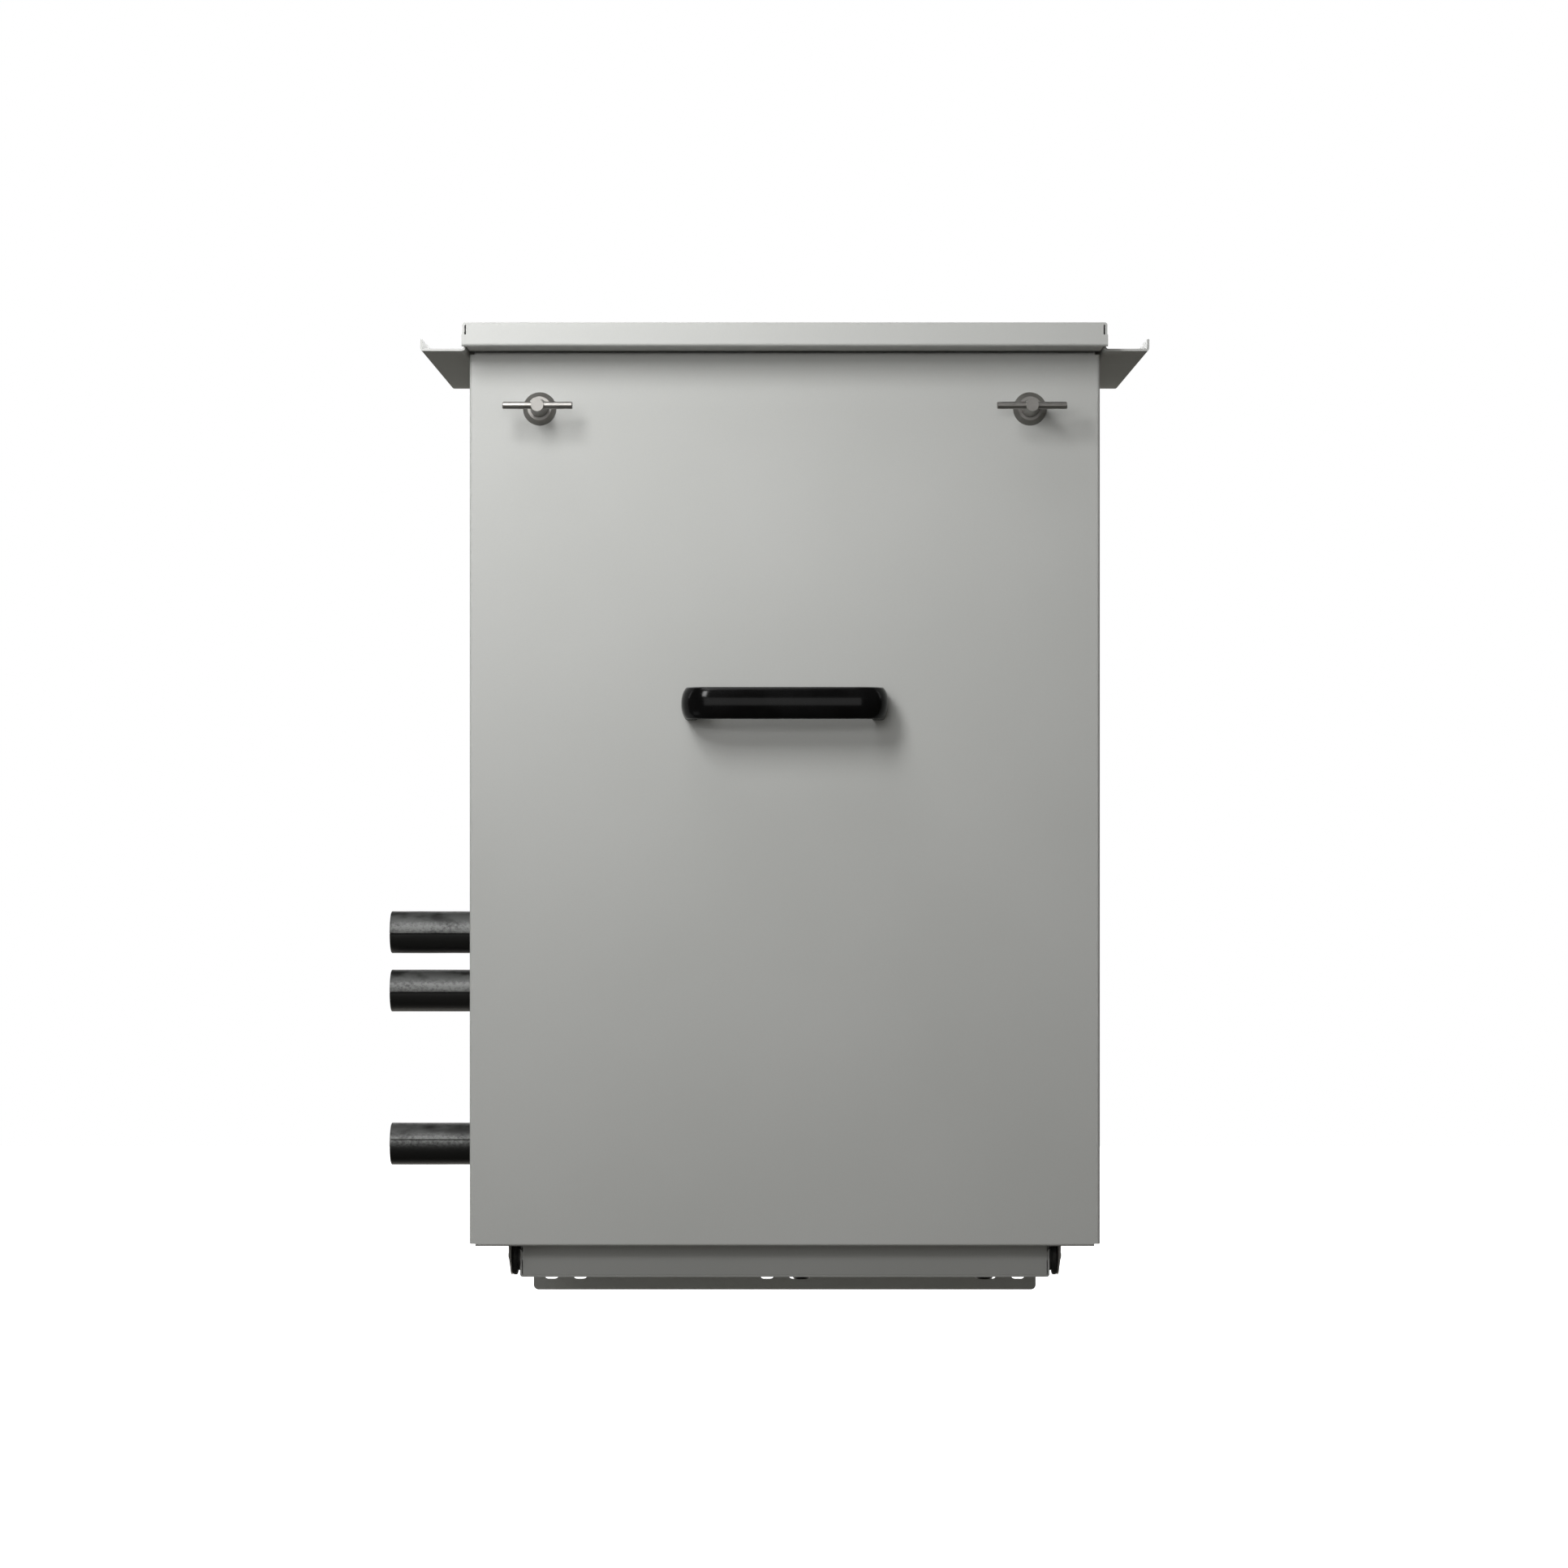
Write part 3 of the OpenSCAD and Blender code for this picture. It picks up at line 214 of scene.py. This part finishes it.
door_middle = (door_low + door_high) / 2
soft_box("key_box", (-0.45, -1.1, 1.25), door_middle, 0.28, 0.5, 8.7)
soft_box("fill_box", (-0.5, -2.2, 1.0), door_middle, 1.4, 0.3, 6, mirrored=False)
soft_box("front_box", (-0.5, -3.9, 0.95), door_middle, 2.4, 1.8, 18)
soft_box("top_box", (-0.4, -0.75, 2.2), door_middle, 0.9, 0.7, 8)
soft_box("foot_box", (-1.1, -0.7, -0.25), (-0.1, 0, 0.0), 0.6, 0.4, 0.4)
soft_box("low_box", (0, 0.45, -0.35), (0, 0.2, 0.8), 1.6, 0.5, 3.6, (1, 0.97, 0.90))
soft_box("left_box", (-2.4, 0.5, 1.7), (-0.2, 0.4, 0.5), 1.2, 1.2, 11)
soft_box("right_box", (2.4, 0.5, 1.7), (0.2, 0.4, 0.5), 1.2, 1.2, 9)
soft_box("back_box", (0.3, 3.0, 1.6), (0, 0, 0.45), 2.0, 1.2, 40)


# ---- Sheet-metal case ----
# Folded sheet, powder coated in a light grey satin after folding. The wall plate, the case,
# the roof with its hanger flanges, the tray, the door and the control box share this finish.
COAT = (0.515, 0.521, 0.506)
COAT_DARK = (0.482, 0.489, 0.472)
PEEL = 1.3 * MM

coat, tree = new_finish("powder_coat", Specular_IOR_Level=0.5)
peel = grains(tree, PEEL, 2)
fine = grains(tree, 0.45 * MM, 2)
cloudy = grains(tree, 0.16, 3)
shade = 0.45 * cloudy + 0.35 * fine + 0.2 * peel
feed(tree, Base_Color=shade.band(0.30, 0.72).blend(COAT_DARK, COAT),
     Roughness=0.34 + 0.10 * cloudy + 0.06 * fine,
     bump=(0.7 * peel + 0.3 * fine, 0.10, 0.25 * MM))


def dress(finish, *names):
    """Gives these CAD nodes a finish in place of the plain one they came with."""
    for name in names:
        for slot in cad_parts[name].material_slots:
            slot.material = finish


dress(coat, "wall_plate", "cabinet_wrap", "cabinet_floor", "cabinet_top", "front_header",
      "roof_cap", "base_tray", "door_panel", "door_frame", "control_box", "control_cover")


# ---- Screws, straps and brackets ----
# Zinc-plated steel with a faint bloom: panel screws, pivot nuts, hinge straps, pipe clamps and
# their bracket, the tank's straps, the rail in the control box, the screws and nuts of the handle
# and the latches, and the latch cams.
zinc, tree = new_finish("zinc_plate", Metallic=1.0)
bloom = grains(tree, 9 * MM, 4)
drawn = grains(tree, 0.7 * MM, 2, (0.25, 1, 1))
feed(tree, Base_Color=bloom.band(0.3, 0.7).blend((0.50, 0.50, 0.49), (0.66, 0.66, 0.64)),
     Roughness=0.30 + 0.16 * bloom + 0.06 * drawn,
     bump=(drawn, 0.12, 0.05 * MM))
dress(zinc, "panel_screws", "line_bracket", "pipe_clamps", "tank_straps",
      "pivot_nuts", "hinge_straps", "handle_screws", "latch_nuts", "din_rail",
      "latch_cam_left", "latch_cam_right")


# ---- Pivot bolts ----
# Two steel bolts with low dome heads, in a dull, light coat of zinc flake. They hold the hinge
# straps to the tray, and the door swings on their shanks.
flake, tree = new_finish("zinc_flake", Metallic=1.0)
crumbs = grains(tree, 0.5 * MM, 3)
cast = grains(tree, 5 * MM, 3)
feed(tree, Base_Color=cast.band(0.3, 0.7).blend((0.74, 0.72, 0.69), (0.84, 0.82, 0.79)),
     Roughness=0.54 + 0.10 * crumbs,
     bump=(crumbs, 0.15, 0.05 * MM))
dress(flake, "pivot_bolts")


# ---- Latches ----
# Two turned stainless stems, each with a quarter-inch cross bar pressed through it and a
# conical collar on the door. The tool leaves fine rings round the stem and along the bar.
satin, tree = new_finish("turned_stainless", Metallic=1.0)
along_bar = grains(tree, 0.35 * MM, 2, (0.15, 1, 1))
turned = grains(tree, 0.35 * MM, 2, (1, 0.15, 1))
smudge = grains(tree, 14 * MM, 3)
feed(tree, Base_Color=smudge.band(0.3, 0.7).blend((0.26, 0.252, 0.24), (0.32, 0.31, 0.295)),
     Roughness=0.34 + 0.10 * smudge + 0.05 * along_bar,
     bump=(0.5 * along_bar + 0.5 * turned, 0.10, 0.04 * MM))
dress(satin, "latch_collars", "latch_stem_left", "latch_stem_right",
      "latch_bar_left", "latch_bar_right")


# ---- Tank ----
# A welded stainless box with a flat lid, inside the foam jacket. The sheet keeps the fine grain
# that the mill's rollers leave on it.
mill, tree = new_finish("mill_stainless", Metallic=1.0)
rolled = grains(tree, 1.1 * MM, 3, (1, 1, 0.08))
feed(tree, Base_Color=rolled.band(0.3, 0.7).blend((0.55, 0.55, 0.54), (0.65, 0.65, 0.64)),
     Roughness=0.28 + 0.14 * rolled,
     bump=(rolled, 0.10, 0.05 * MM))
dress(mill, "tank_shell", "tank_lid")


# ---- Copper lines ----
# Half-inch drawn copper tube, bent and brazed. It dulls to brown in patches, and the drawing
# leaves faint marks along it.
copper, tree = new_finish("drawn_copper", Metallic=1.0)
patina = grains(tree, 26 * MM, 4).band(0.38, 0.70)
spots = grains(tree, 3 * MM, 3)
feed(tree, Base_Color=(0.75 * patina + 0.25 * spots).blend((0.78, 0.42, 0.26), (0.40, 0.19, 0.11)),
     Roughness=0.24 + 0.22 * patina + 0.08 * spots,
     bump=(spots, 0.08, 0.06 * MM))
dress(copper, "line_lower", "line_middle", "line_upper", "storage_coil")


# ---- Valves ----
# Forged brass bodies with a sandblasted skin: three ball valves, the solenoid valve, the
# expansion valve, the check valve and the relief valve.
brass, tree = new_finish("forged_brass", Metallic=1.0)
blasted = grains(tree, 0.6 * MM, 2)
tarnish = grains(tree, 18 * MM, 4)
feed(tree, Base_Color=tarnish.band(0.35, 0.68).blend((0.72, 0.53, 0.26), (0.52, 0.37, 0.17)),
     Roughness=0.30 + 0.18 * tarnish + 0.08 * blasted,
     bump=(blasted, 0.22, 0.08 * MM))
dress(brass, "valve_lower", "valve_middle", "valve_upper", "solenoid_valve",
      "expansion_valve", "check_valve", "relief_valve")


# ---- Storage packs ----
# Flat film bags of salt solution, four rows on each side of the coil. The solution freezes in
# crystals behind the clear film, which wrinkles over them.
film, tree = new_finish("pack_film", Coat_Weight=0.4, Coat_Roughness=0.2)
crystals = grains(tree, 12 * MM, 5)
wrinkles = grains(tree, 30 * MM, 3, (1, 1, 2.5))
feed(tree, Base_Color=crystals.band(0.35, 0.65).blend((0.22, 0.45, 0.66), (0.52, 0.70, 0.82)),
     Roughness=0.25 + 0.25 * wrinkles,
     bump=(0.4 * crystals + 0.6 * wrinkles, 0.35, 2 * MM))
dress(film, "storage_packs")


# ---- Controls and trunking ----
# Moulded grey plastic: the controller, the terminal blocks and the slotted duct. Spark-eroded
# moulds leave a fine grain.
shell, tree = new_finish("grey_moulding", Specular_IOR_Level=0.45)
eroded = grains(tree, 0.5 * MM, 2)
mottle = grains(tree, 40 * MM, 2)
feed(tree, Base_Color=mottle.band(0.3, 0.7).blend((0.40, 0.41, 0.42), (0.47, 0.48, 0.49)),
     Roughness=0.42 + 0.12 * eroded,
     bump=(eroded, 0.18, 0.06 * MM))
dress(shell, "controller", "terminal_blocks", "wire_duct")


# ---- Glands and solenoid coil ----
# Black nylon, moulded with a matt grain: the cable glands under the tray, their nuts, and the
# housing of the solenoid's coil.
nylon, tree = new_finish("black_nylon", Specular_IOR_Level=0.4)
grain = grains(tree, 0.6 * MM, 2)
feed(tree, Base_Color=grain.band(0.3, 0.7).blend((0.012, 0.012, 0.012), (0.026, 0.026, 0.026)),
     Roughness=0.45 + 0.15 * grain,
     bump=(grain, 0.2, 0.08 * MM))
dress(nylon, "cable_glands", "gland_nuts", "solenoid_coil")


# ---- Levers ----
# Flat steel levers dipped in red vinyl, one on each ball valve. The vinyl sets with soft runs
# in its gloss.
vinyl, tree = new_finish("dipped_vinyl", Coat_Weight=0.25, Coat_Roughness=0.3)
runs = grains(tree, 7 * MM, 3)
feed(tree, Base_Color=runs.band(0.3, 0.7).blend((0.45, 0.035, 0.025), (0.56, 0.055, 0.04)),
     Roughness=0.36 + 0.14 * runs,
     bump=(runs, 0.12, 0.3 * MM))
dress(vinyl, "lever_lower", "lever_middle", "lever_upper")


# ---- Pivot discs and grommets ----
# Moulded black rubber: the friction discs between the hinge straps and the tray, and the
# grommets where the lines pass the wall.
rubber, tree = new_finish("moulded_rubber", Specular_IOR_Level=0.35)
# Here real dust in paler patches on the rubber; the same name later carries the foam's painted top
# light.
dust_and_top_light = grains(tree, 5 * MM, 4)
pores = grains(tree, 0.5 * MM, 2)
feed(tree, Base_Color=dust_and_top_light.band(0.45, 0.75).blend((0.014, 0.014, 0.014), (0.035, 0.034, 0.032)),
     Roughness=0.60 + 0.18 * pores,
     bump=(pores, 0.25, 0.08 * MM))
dress(rubber, "pipe_grommets", "pivot_discs")


# ---- Pull handle ----
# A glossy black bow handle, moulded in nylon with a crowned outer face and rounded edges. Its
# two legs widen a little where they stand on the door, and screws hold them from behind.
HANDLE_THICK = 14 * MM
HANDLE_BEND = 26 * MM
HANDLE_CROWN = 4.0 * MM
HANDLE_EDGE = 2.6 * MM
FOOT_SPREAD = 0.6 * MM
FOOT_LENGTH = 5 * MM

gloss, tree = new_finish("glossy_black", Specular_IOR_Level=0.16)
ripple = grains(tree, 22 * MM, 2)
haze = grains(tree, 0.8 * MM, 2)
shine = ripple.band(0.3, 0.7).blend((0.0022, 0.0022, 0.0023), (0.0045, 0.0045, 0.0047))
feed(tree, Base_Color=shine,
     Roughness=0.14 + 0.03 * ripple + 0.04 * haze,
     bump=(0.5 * ripple + 0.5 * haze, 0.03, 0.1 * MM))


def arc(centre, radius, start, end, count):
    """Points from one angle to another, in degrees."""
    for i in range(count + 1):
        angle = math.radians(start + (end - start) * i / count)
        yield centre[0] + radius * math.cos(angle), centre[1] + radius * math.sin(angle)


def bridge(mesh, ring, after):
    """Joins two closed rings of corners with a band of faces."""
    for j in range(len(ring)):
        k = (j + 1) % len(ring)
        mesh.faces.new((ring[j], after[j], after[k], ring[k]))


def swept(mesh, rings):
    """Joins the rings of a swept section one after another, and closes both ends."""
    for ring, after in zip(rings, rings[1:]):
        bridge(mesh, ring, after)
    mesh.faces.new(rings[0])
    mesh.faces.new(reversed(rings[-1]))


def add_piece(mesh, name, finish, crease, body, node):
    """Makes a piece of a mesh, with edges kept sharp from that angle. It rides the body and
    stands in the place of the CAD node."""
    bmesh.ops.recalc_face_normals(mesh, faces=mesh.faces)
    data = bpy.data.meshes.new(name)
    mesh.to_mesh(data)
    mesh.free()
    data.materials.append(finish)
    for face in data.polygons:
        face.use_smooth = True
    data.set_sharp_from_angle(angle=math.radians(crease))
    piece = bpy.data.objects.new(name, data)
    bpy.context.scene.collection.objects.link(piece)
    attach(piece, body)
    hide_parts(node)


handle_low, handle_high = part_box("door_handle")
reach = (handle_high.x - handle_low.x) / 2
tall = (handle_high.z - handle_low.z) / 2
crown_radius = (tall ** 2 + HANDLE_CROWN ** 2) / (2 * HANDLE_CROWN)
shoulder = HANDLE_THICK - HANDLE_CROWN

# the grip's section: across its height, and outward from the inner face
section = list(arc((tall - HANDLE_EDGE, HANDLE_EDGE), HANDLE_EDGE, -90, 0, 5))
section += list(arc((tall - HANDLE_EDGE, shoulder - HANDLE_EDGE * 0.7), HANDLE_EDGE, 0, 62, 5))
sweep = math.degrees(math.asin((tall - HANDLE_EDGE * 1.3) / crown_radius))
section += list(arc((0, HANDLE_THICK - crown_radius), crown_radius, 90 - sweep, 90 + sweep, 16))
section += [(-across, out) for across, out in reversed(section[:12])]

# the inner face's path in plan, from the left foot round to the right one
leg_end = handle_low.y + HANDLE_BEND
inner = HANDLE_BEND - HANDLE_THICK
corner = reach - HANDLE_BEND
path = [(-reach + HANDLE_THICK, handle_high.y - (handle_high.y - leg_end) * i / 8, 180)
        for i in range(8)]
path += [(x, y, angle) for (x, y), angle in zip(
    arc((-corner, leg_end), inner, 180, 270, 16), [180 + 90 * i / 16 for i in range(17)])]
path += [(-corner + 2 * corner * i / 24, handle_low.y + HANDLE_THICK, 270) for i in range(1, 24)]
path += [(-x, y, 540 - angle) for x, y, angle in reversed(path[:25])]

mesh = bmesh.new()
rings = []
middle_z = (handle_low.z + handle_high.z) / 2
for x, y, angle in path:
    near_door = max(0.0, 1 - (handle_high.y - y) / FOOT_LENGTH)
    spread = FOOT_SPREAD * near_door ** 2
    out_x = math.cos(math.radians(angle))
    out_y = math.sin(math.radians(angle))
    ring = []
    for across, out in section:
        z = middle_z + across + math.copysign(spread, across)
        away = out - HANDLE_THICK / 2
        away = HANDLE_THICK / 2 + away + math.copysign(spread, away) * 0.8
        ring.append(mesh.verts.new((x + out_x * away, y + out_y * away, z)))
    rings.append(ring)
swept(mesh, rings)
add_piece(mesh, "bow_handle", gloss, 50, "door", "door_handle")


# ---- Line sleeves ----
# Black closed-cell foam tube, slit along its length, pushed over each copper line and closed
# with glue. The seam shows as a thin dark groove with a slightly raised upper lip.
# The foam's base colour paints light: a streaked grey painted highlight band a little above the front
# of each sleeve, and a patchy painted top light on the upper half.
foam, tree = new_finish("closed_cell_foam", Specular_IOR_Level=0.45)
streaks = grains(tree, 2.6 * MM, 5, (0.8, 1, 1), 0.7)
patches = grains(tree, 11 * MM, 4, (0.5, 1, 1))
cells = grains(tree, 0.8 * MM, 3)
# painted highlight band, stored on the sleeve's corners
highlight_band = Signal.node(tree, "ShaderNodeAttribute", {"attribute_name": "highlight_band"}, out=2)
# painted top light: 1 on the upper half of each sleeve, broken into patches in the shader
dust_and_top_light = Signal.node(tree, "ShaderNodeAttribute", {"attribute_name": "dust_and_top_light"}, out=2)
# painted light in the base colour: the streaked highlight band plus the patchy top light; it also
# makes the foam a little glossier there
painted_light = highlight_band * (0.25 + 1.1 * streaks.band(0.30, 0.72)) + 0.30 * dust_and_top_light * patches.band(0.30, 0.62)
feed(tree, Base_Color=painted_light.blend((0.0045, 0.0044, 0.0041), (0.20, 0.205, 0.20)),
     Roughness=0.48 + 0.12 * cells - 0.10 * painted_light,
     bump=(0.5 * cells + 0.5 * streaks, 0.4, 0.4 * MM))

# Seam angle, and how far above the seam the painted highlight band is centred, in degrees; the band
# sits where the lamps reflect.
SEAM_ANGLE = {"sleeve_lower": 16, "sleeve_middle": -2, "sleeve_upper": -2}
HIGHLIGHT_ABOVE_SEAM = {"sleeve_lower": 0, "sleeve_middle": 17, "sleeve_upper": 17}
SEAM_WIDTH = 0.9 * MM
SEAM_DEPTH = 2.2 * MM
SEAM_LIP = 0.10 * MM
# width of the painted highlight band, in degrees
HIGHLIGHT_SPREAD = 13
SKIN_WAVE = 0.10 * MM
EDGE_ROUND = 0.9 * MM
SLEEVE_PLAY = 0.1 * MM
LINE_RADIUS = 6.35 * MM
MOUTH_RADIUS = 7.2 * MM
MOUTH_DEPTH = 13.5 * MM
TURNS = 120
STEPS = 60


def foam_sleeve(name):
    """One sleeve: rings from the mouth over the outer skin and back through the bore."""
    low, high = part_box(name)
    axis_y = (low.y + high.y) / 2
    axis_z = (low.z + high.z) / 2
    outer = (high.z - low.z) / 2 - SLEEVE_PLAY
    seam = math.radians(SEAM_ANGLE[name])
    rows = [(low.x + MOUTH_DEPTH, MOUTH_RADIUS), (low.x, MOUTH_RADIUS), (low.x, outer - EDGE_ROUND),
            (low.x + 0.3 * EDGE_ROUND, outer - 0.3 * EDGE_ROUND)]
    length = high.x - low.x
    rows += [(low.x + EDGE_ROUND + (length - 2 * EDGE_ROUND) * i / STEPS, outer)
             for i in range(STEPS + 1)]
    rows += [(high.x - 0.3 * EDGE_ROUND, outer - 0.3 * EDGE_ROUND), (high.x, outer - EDGE_ROUND),
             (high.x, LINE_RADIUS), (low.x + MOUTH_DEPTH, LINE_RADIUS)]
    # angles crowd round the seam so that its groove keeps its shape
    slit = SEAM_WIDTH / outer
    angles = [seam + slit * k for k in (-2.4, -1.2, -0.5, -0.25, 0, 0.25, 0.5, 1.2, 2.4)]
    span = 2 * math.pi - 4.8 * slit
    angles += [seam + 2.4 * slit + span * i / TURNS for i in range(1, TURNS)]
    mesh = bmesh.new()
    highlight_band_layer = mesh.verts.layers.float.new("highlight_band")
    top_light_layer = mesh.verts.layers.float.new("dust_and_top_light")
    rings = []
    for x, radius in rows:
        ring = []
        for angle in angles:
            off = (angle - seam + math.pi) % (2 * math.pi) - math.pi
            r = radius
            if radius > MOUTH_RADIUS + MM:
                groove = max(0.0, 1 - abs(off) / (0.5 * slit + 1e-9))
                lip = math.exp(-((off - 1.2 * slit) / (1.1 * slit)) ** 2)
                wave = noise.noise(Vector((x * 38, angle * 1.1, axis_z * 50)))
                r += SEAM_LIP * lip - SEAM_DEPTH * min(1.0, 1.6 * groove)
                r += SKIN_WAVE * (wave - 1)
            corner = mesh.verts.new((x, axis_y - r * math.cos(angle), axis_z + r * math.sin(angle)))
            # painted highlight band round its angle; on the upper sleeves only above the seam
            away = (math.degrees(off) - HIGHLIGHT_ABOVE_SEAM[name]) / HIGHLIGHT_SPREAD
            upper = 1.0 if off > -0.01 else 0.0
            reach_down = upper if HIGHLIGHT_ABOVE_SEAM[name] else 1.0
            corner[highlight_band_layer] = reach_down * math.exp(-away ** 2)
            # painted top light on the upper half
            corner[top_light_layer] = upper
            ring.append(corner)
        rings.append(ring)
    for ring, after in zip(rings, rings[1:] + rings[:1]):
        bridge(mesh, ring, after)
    add_piece(mesh, name + "_foam", foam, 38, "cabinet", name)


for name in SEAM_ANGLE:
    foam_sleeve(name)


# ---- Door gasket ----
# Extruded foam rubber with a bulb on a flat base, glued to the door's frame in two lengths. A
# gap is left for each hinge strap.
SEAL_WIDTH = 12 * MM
BASE_SHARE = 0.35
CORNER = 9 * MM
STRAP = 1.5 * MM
STRAP_ROOM = 1.2 * MM

seal, tree = new_finish("foam_rubber", Specular_IOR_Level=0.35)
skin = grains(tree, 0.9 * MM, 3)
lint = grains(tree, 6 * MM, 4)
feed(tree, Base_Color=lint.band(0.45, 0.75).blend((0.012, 0.012, 0.012), (0.034, 0.033, 0.031)),
     Roughness=0.62 + 0.15 * skin,
     bump=(skin, 0.3, 0.15 * MM))

seal_low, seal_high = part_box("door_gasket")
strap_low, strap_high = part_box("hinge_straps")
thick = seal_high.y - seal_low.y
half_wide = SEAL_WIDTH / 2
run_x = seal_high.x - half_wide
run_low = seal_low.z + half_wide
run_high = seal_high.z - half_wide
base = BASE_SHARE * thick
bulb = [(-half_wide, 0), (-half_wide, base), (-0.72 * half_wide, 1.1 * base)]
bulb += [(-0.6 * half_wide * math.cos(math.radians(a)),
          thick * (0.42 + 0.58 * math.sin(math.radians(a)))) for a in range(0, 181, 15)]
bulb += [(0.72 * half_wide, 1.1 * base), (half_wide, base), (half_wide, 0)]


def gasket_run(name, points):
    """Sweeps the bulb along points (x, z, direction of the outer side in degrees)."""
    mesh = bmesh.new()
    rings = []
    for x, z, angle in points:
        out = (math.cos(math.radians(angle)), math.sin(math.radians(angle)))
        rings.append([mesh.verts.new((x + u * out[0], seal_low.y + v, z + u * out[1]))
                      for u, v in bulb])
    swept(mesh, rings)
    add_piece(mesh, name, seal, 50, "door", "door_gasket")


inner_end = strap_high.x - STRAP - STRAP_ROOM
outer_end = strap_high.x + STRAP_ROOM
gasket_run("gasket_bottom", [(-inner_end + 2 * inner_end * i / 20, run_low, 270) for i in range(21)])
turn_x = run_x - CORNER
round_run = [(outer_end + (turn_x - outer_end) * i / 3, run_low, 270) for i in range(3)]
for x, z, first in ((turn_x, run_low + CORNER, 270), (turn_x, run_high - CORNER, 0),
                    (-turn_x, run_high - CORNER, 90), (-turn_x, run_low + CORNER, 180)):
    round_run += [(px, pz, first + 90 * i / 8)
                  for i, (px, pz) in enumerate(arc((x, z), CORNER, first, first + 90, 8))]
round_run += [(-x, z, angle) for x, z, angle in reversed(round_run[:3])]
gasket_run("gasket_round", round_run)


# ---- Tank jacket ----
# Elastomer foam sheets glued round the tank, with soft cut edges. Their joints are closed with
# smooth black foam tape: down each corner and round the top and bottom edges.
EDGE = 7 * MM
TAPE = 25 * MM
TAPE_EDGE = 0.4 * MM
TAPE_THICK = 0.5 * MM
SAG = 0.5 * MM
ON_SIDE = 0.93

sheet, tree = new_finish("foam_sheet", Specular_IOR_Level=0.4)
skin = grains(tree, 1.1 * MM, 3)
rolls = grains(tree, 70 * MM, 3)
chalk = grains(tree, 16 * MM, 5)
tape = Signal.node(tree, "ShaderNodeAttribute", {"attribute_name": "tape"}, out=2)
bare = chalk.band(0.30, 0.85).blend((0.018, 0.018, 0.019), (0.034, 0.034, 0.034))
feed(tree, Base_Color=tape.blend(bare, (0.011, 0.011, 0.012)),
     Roughness=0.62 + 0.12 * skin - 0.30 * tape,
     bump=((0.6 * skin + 0.4 * rolls) * (1.15 - tape), 0.4, 0.5 * MM))

jacket_low, jacket_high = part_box("tank_jacket")
size = jacket_high - jacket_low
centre = (jacket_low + jacket_high) / 2


def lines_across(length, count):
    """Places along a side, from its middle, with close pairs at the edges of the tape."""
    inside = length / 2 - EDGE
    step = length / 2 - TAPE
    marks = [-inside + 2 * inside * i / count for i in range(count + 1)]
    marks = [m for m in marks if abs(abs(m) - step) > 3 * MM]
    for side in (-1, 1):
        marks += [side * (step - TAPE_EDGE), side * (step + TAPE_EDGE)]
    return sorted(marks)


def jacket_loop(inset, z):
    """One closed loop round the jacket at a height: points, and how far each is on the tape."""
    loop = []
    for turn in range(4):
        along, across = (size.x, size.y) if turn % 2 == 0 else (size.y, size.x)
        for mark in lines_across(along, 22 if turn % 2 == 0 else 16):
            taped = 1.0 if along / 2 - abs(mark) < TAPE else 0.0
            loop.append((mark, -(across / 2 - inset), turn, taped))
        for i in range(1, 6):
            angle = math.radians(-90 + 90 * i / 6)
            loop.append((along / 2 - EDGE + (EDGE - inset) * math.cos(angle),
                         -(across / 2 - EDGE) + (EDGE - inset) * math.sin(angle), turn, 1.0))
    points = []
    for a, b, turn, taped in loop:
        x, y = ((a, b), (-b, a), (-a, -b), (b, -a))[turn]
        points.append((centre.x + x, centre.y + y, z, taped))
    return points


mesh = bmesh.new()
tape_layer = mesh.verts.layers.float.new("tape")
levels = [(EDGE, 0.0), (EDGE * 0.62, EDGE * 0.08),
          (EDGE * 0.29, EDGE * 0.29), (EDGE * 0.08, EDGE * 0.62)]
heights = [(inset, jacket_low.z + rise) for inset, rise in levels]
heights += [(0.0, centre.z + mark) for mark in lines_across(size.z, 34)]
heights += [(inset, jacket_high.z - rise) for inset, rise in reversed(levels)]
rings = []
for inset, z in heights:
    top_tape = 1.0 if min(z - jacket_low.z, jacket_high.z - z) < TAPE else 0.0
    ring = []
    for x, y, height, taped in jacket_loop(inset, z):
        on_tape = max(taped, top_tape)
        uneven = SAG * (0.5 + 0.5 * noise.noise(Vector((x * 14, y * 14, height * 14))))
        depth = TAPE_THICK * (1 - on_tape) + uneven * (1 - 0.6 * on_tape)
        away = Vector((x - centre.x, y - centre.y, 0))
        nudge = Vector((math.copysign(depth, away.x) if abs(away.x) > ON_SIDE * size.x / 2 else 0,
                        math.copysign(depth, away.y) if abs(away.y) > ON_SIDE * size.y / 2 else 0, 0))
        corner = mesh.verts.new(Vector((x, y, height)) - nudge)
        corner[tape_layer] = on_tape
        ring.append(corner)
    rings.append(ring)
for ring, after in zip(rings, rings[1:]):
    bridge(mesh, ring, after)
# the top and the underside: the tape's flat border, the step off it, and the bare sheet
border = 1 - (TAPE - EDGE) / (size.y / 2)
step_off = 1 - (TAPE - EDGE + MM) / (size.y / 2)
for rim, flat_z in ((rings[0], jacket_low.z), (rings[-1], jacket_high.z)):
    last = rim
    for share, drop, taped in ((border, 0.0, 1.0), (step_off, TAPE_THICK, 0.0),
                               (0.4, TAPE_THICK, 0.0)):
        ring = []
        for corner in rim:
            x = centre.x + (corner.co.x - centre.x) * share
            y = centre.y + (corner.co.y - centre.y) * share
            inward = drop if flat_z == jacket_high.z else -drop
            point = mesh.verts.new((x, y, flat_z - inward))
            point[tape_layer] = taped
            ring.append(point)
        bridge(mesh, last, ring)
        last = ring
    mesh.faces.new(last)
add_piece(mesh, "jacket_foam", sheet, 45, "cabinet", "tank_jacket")
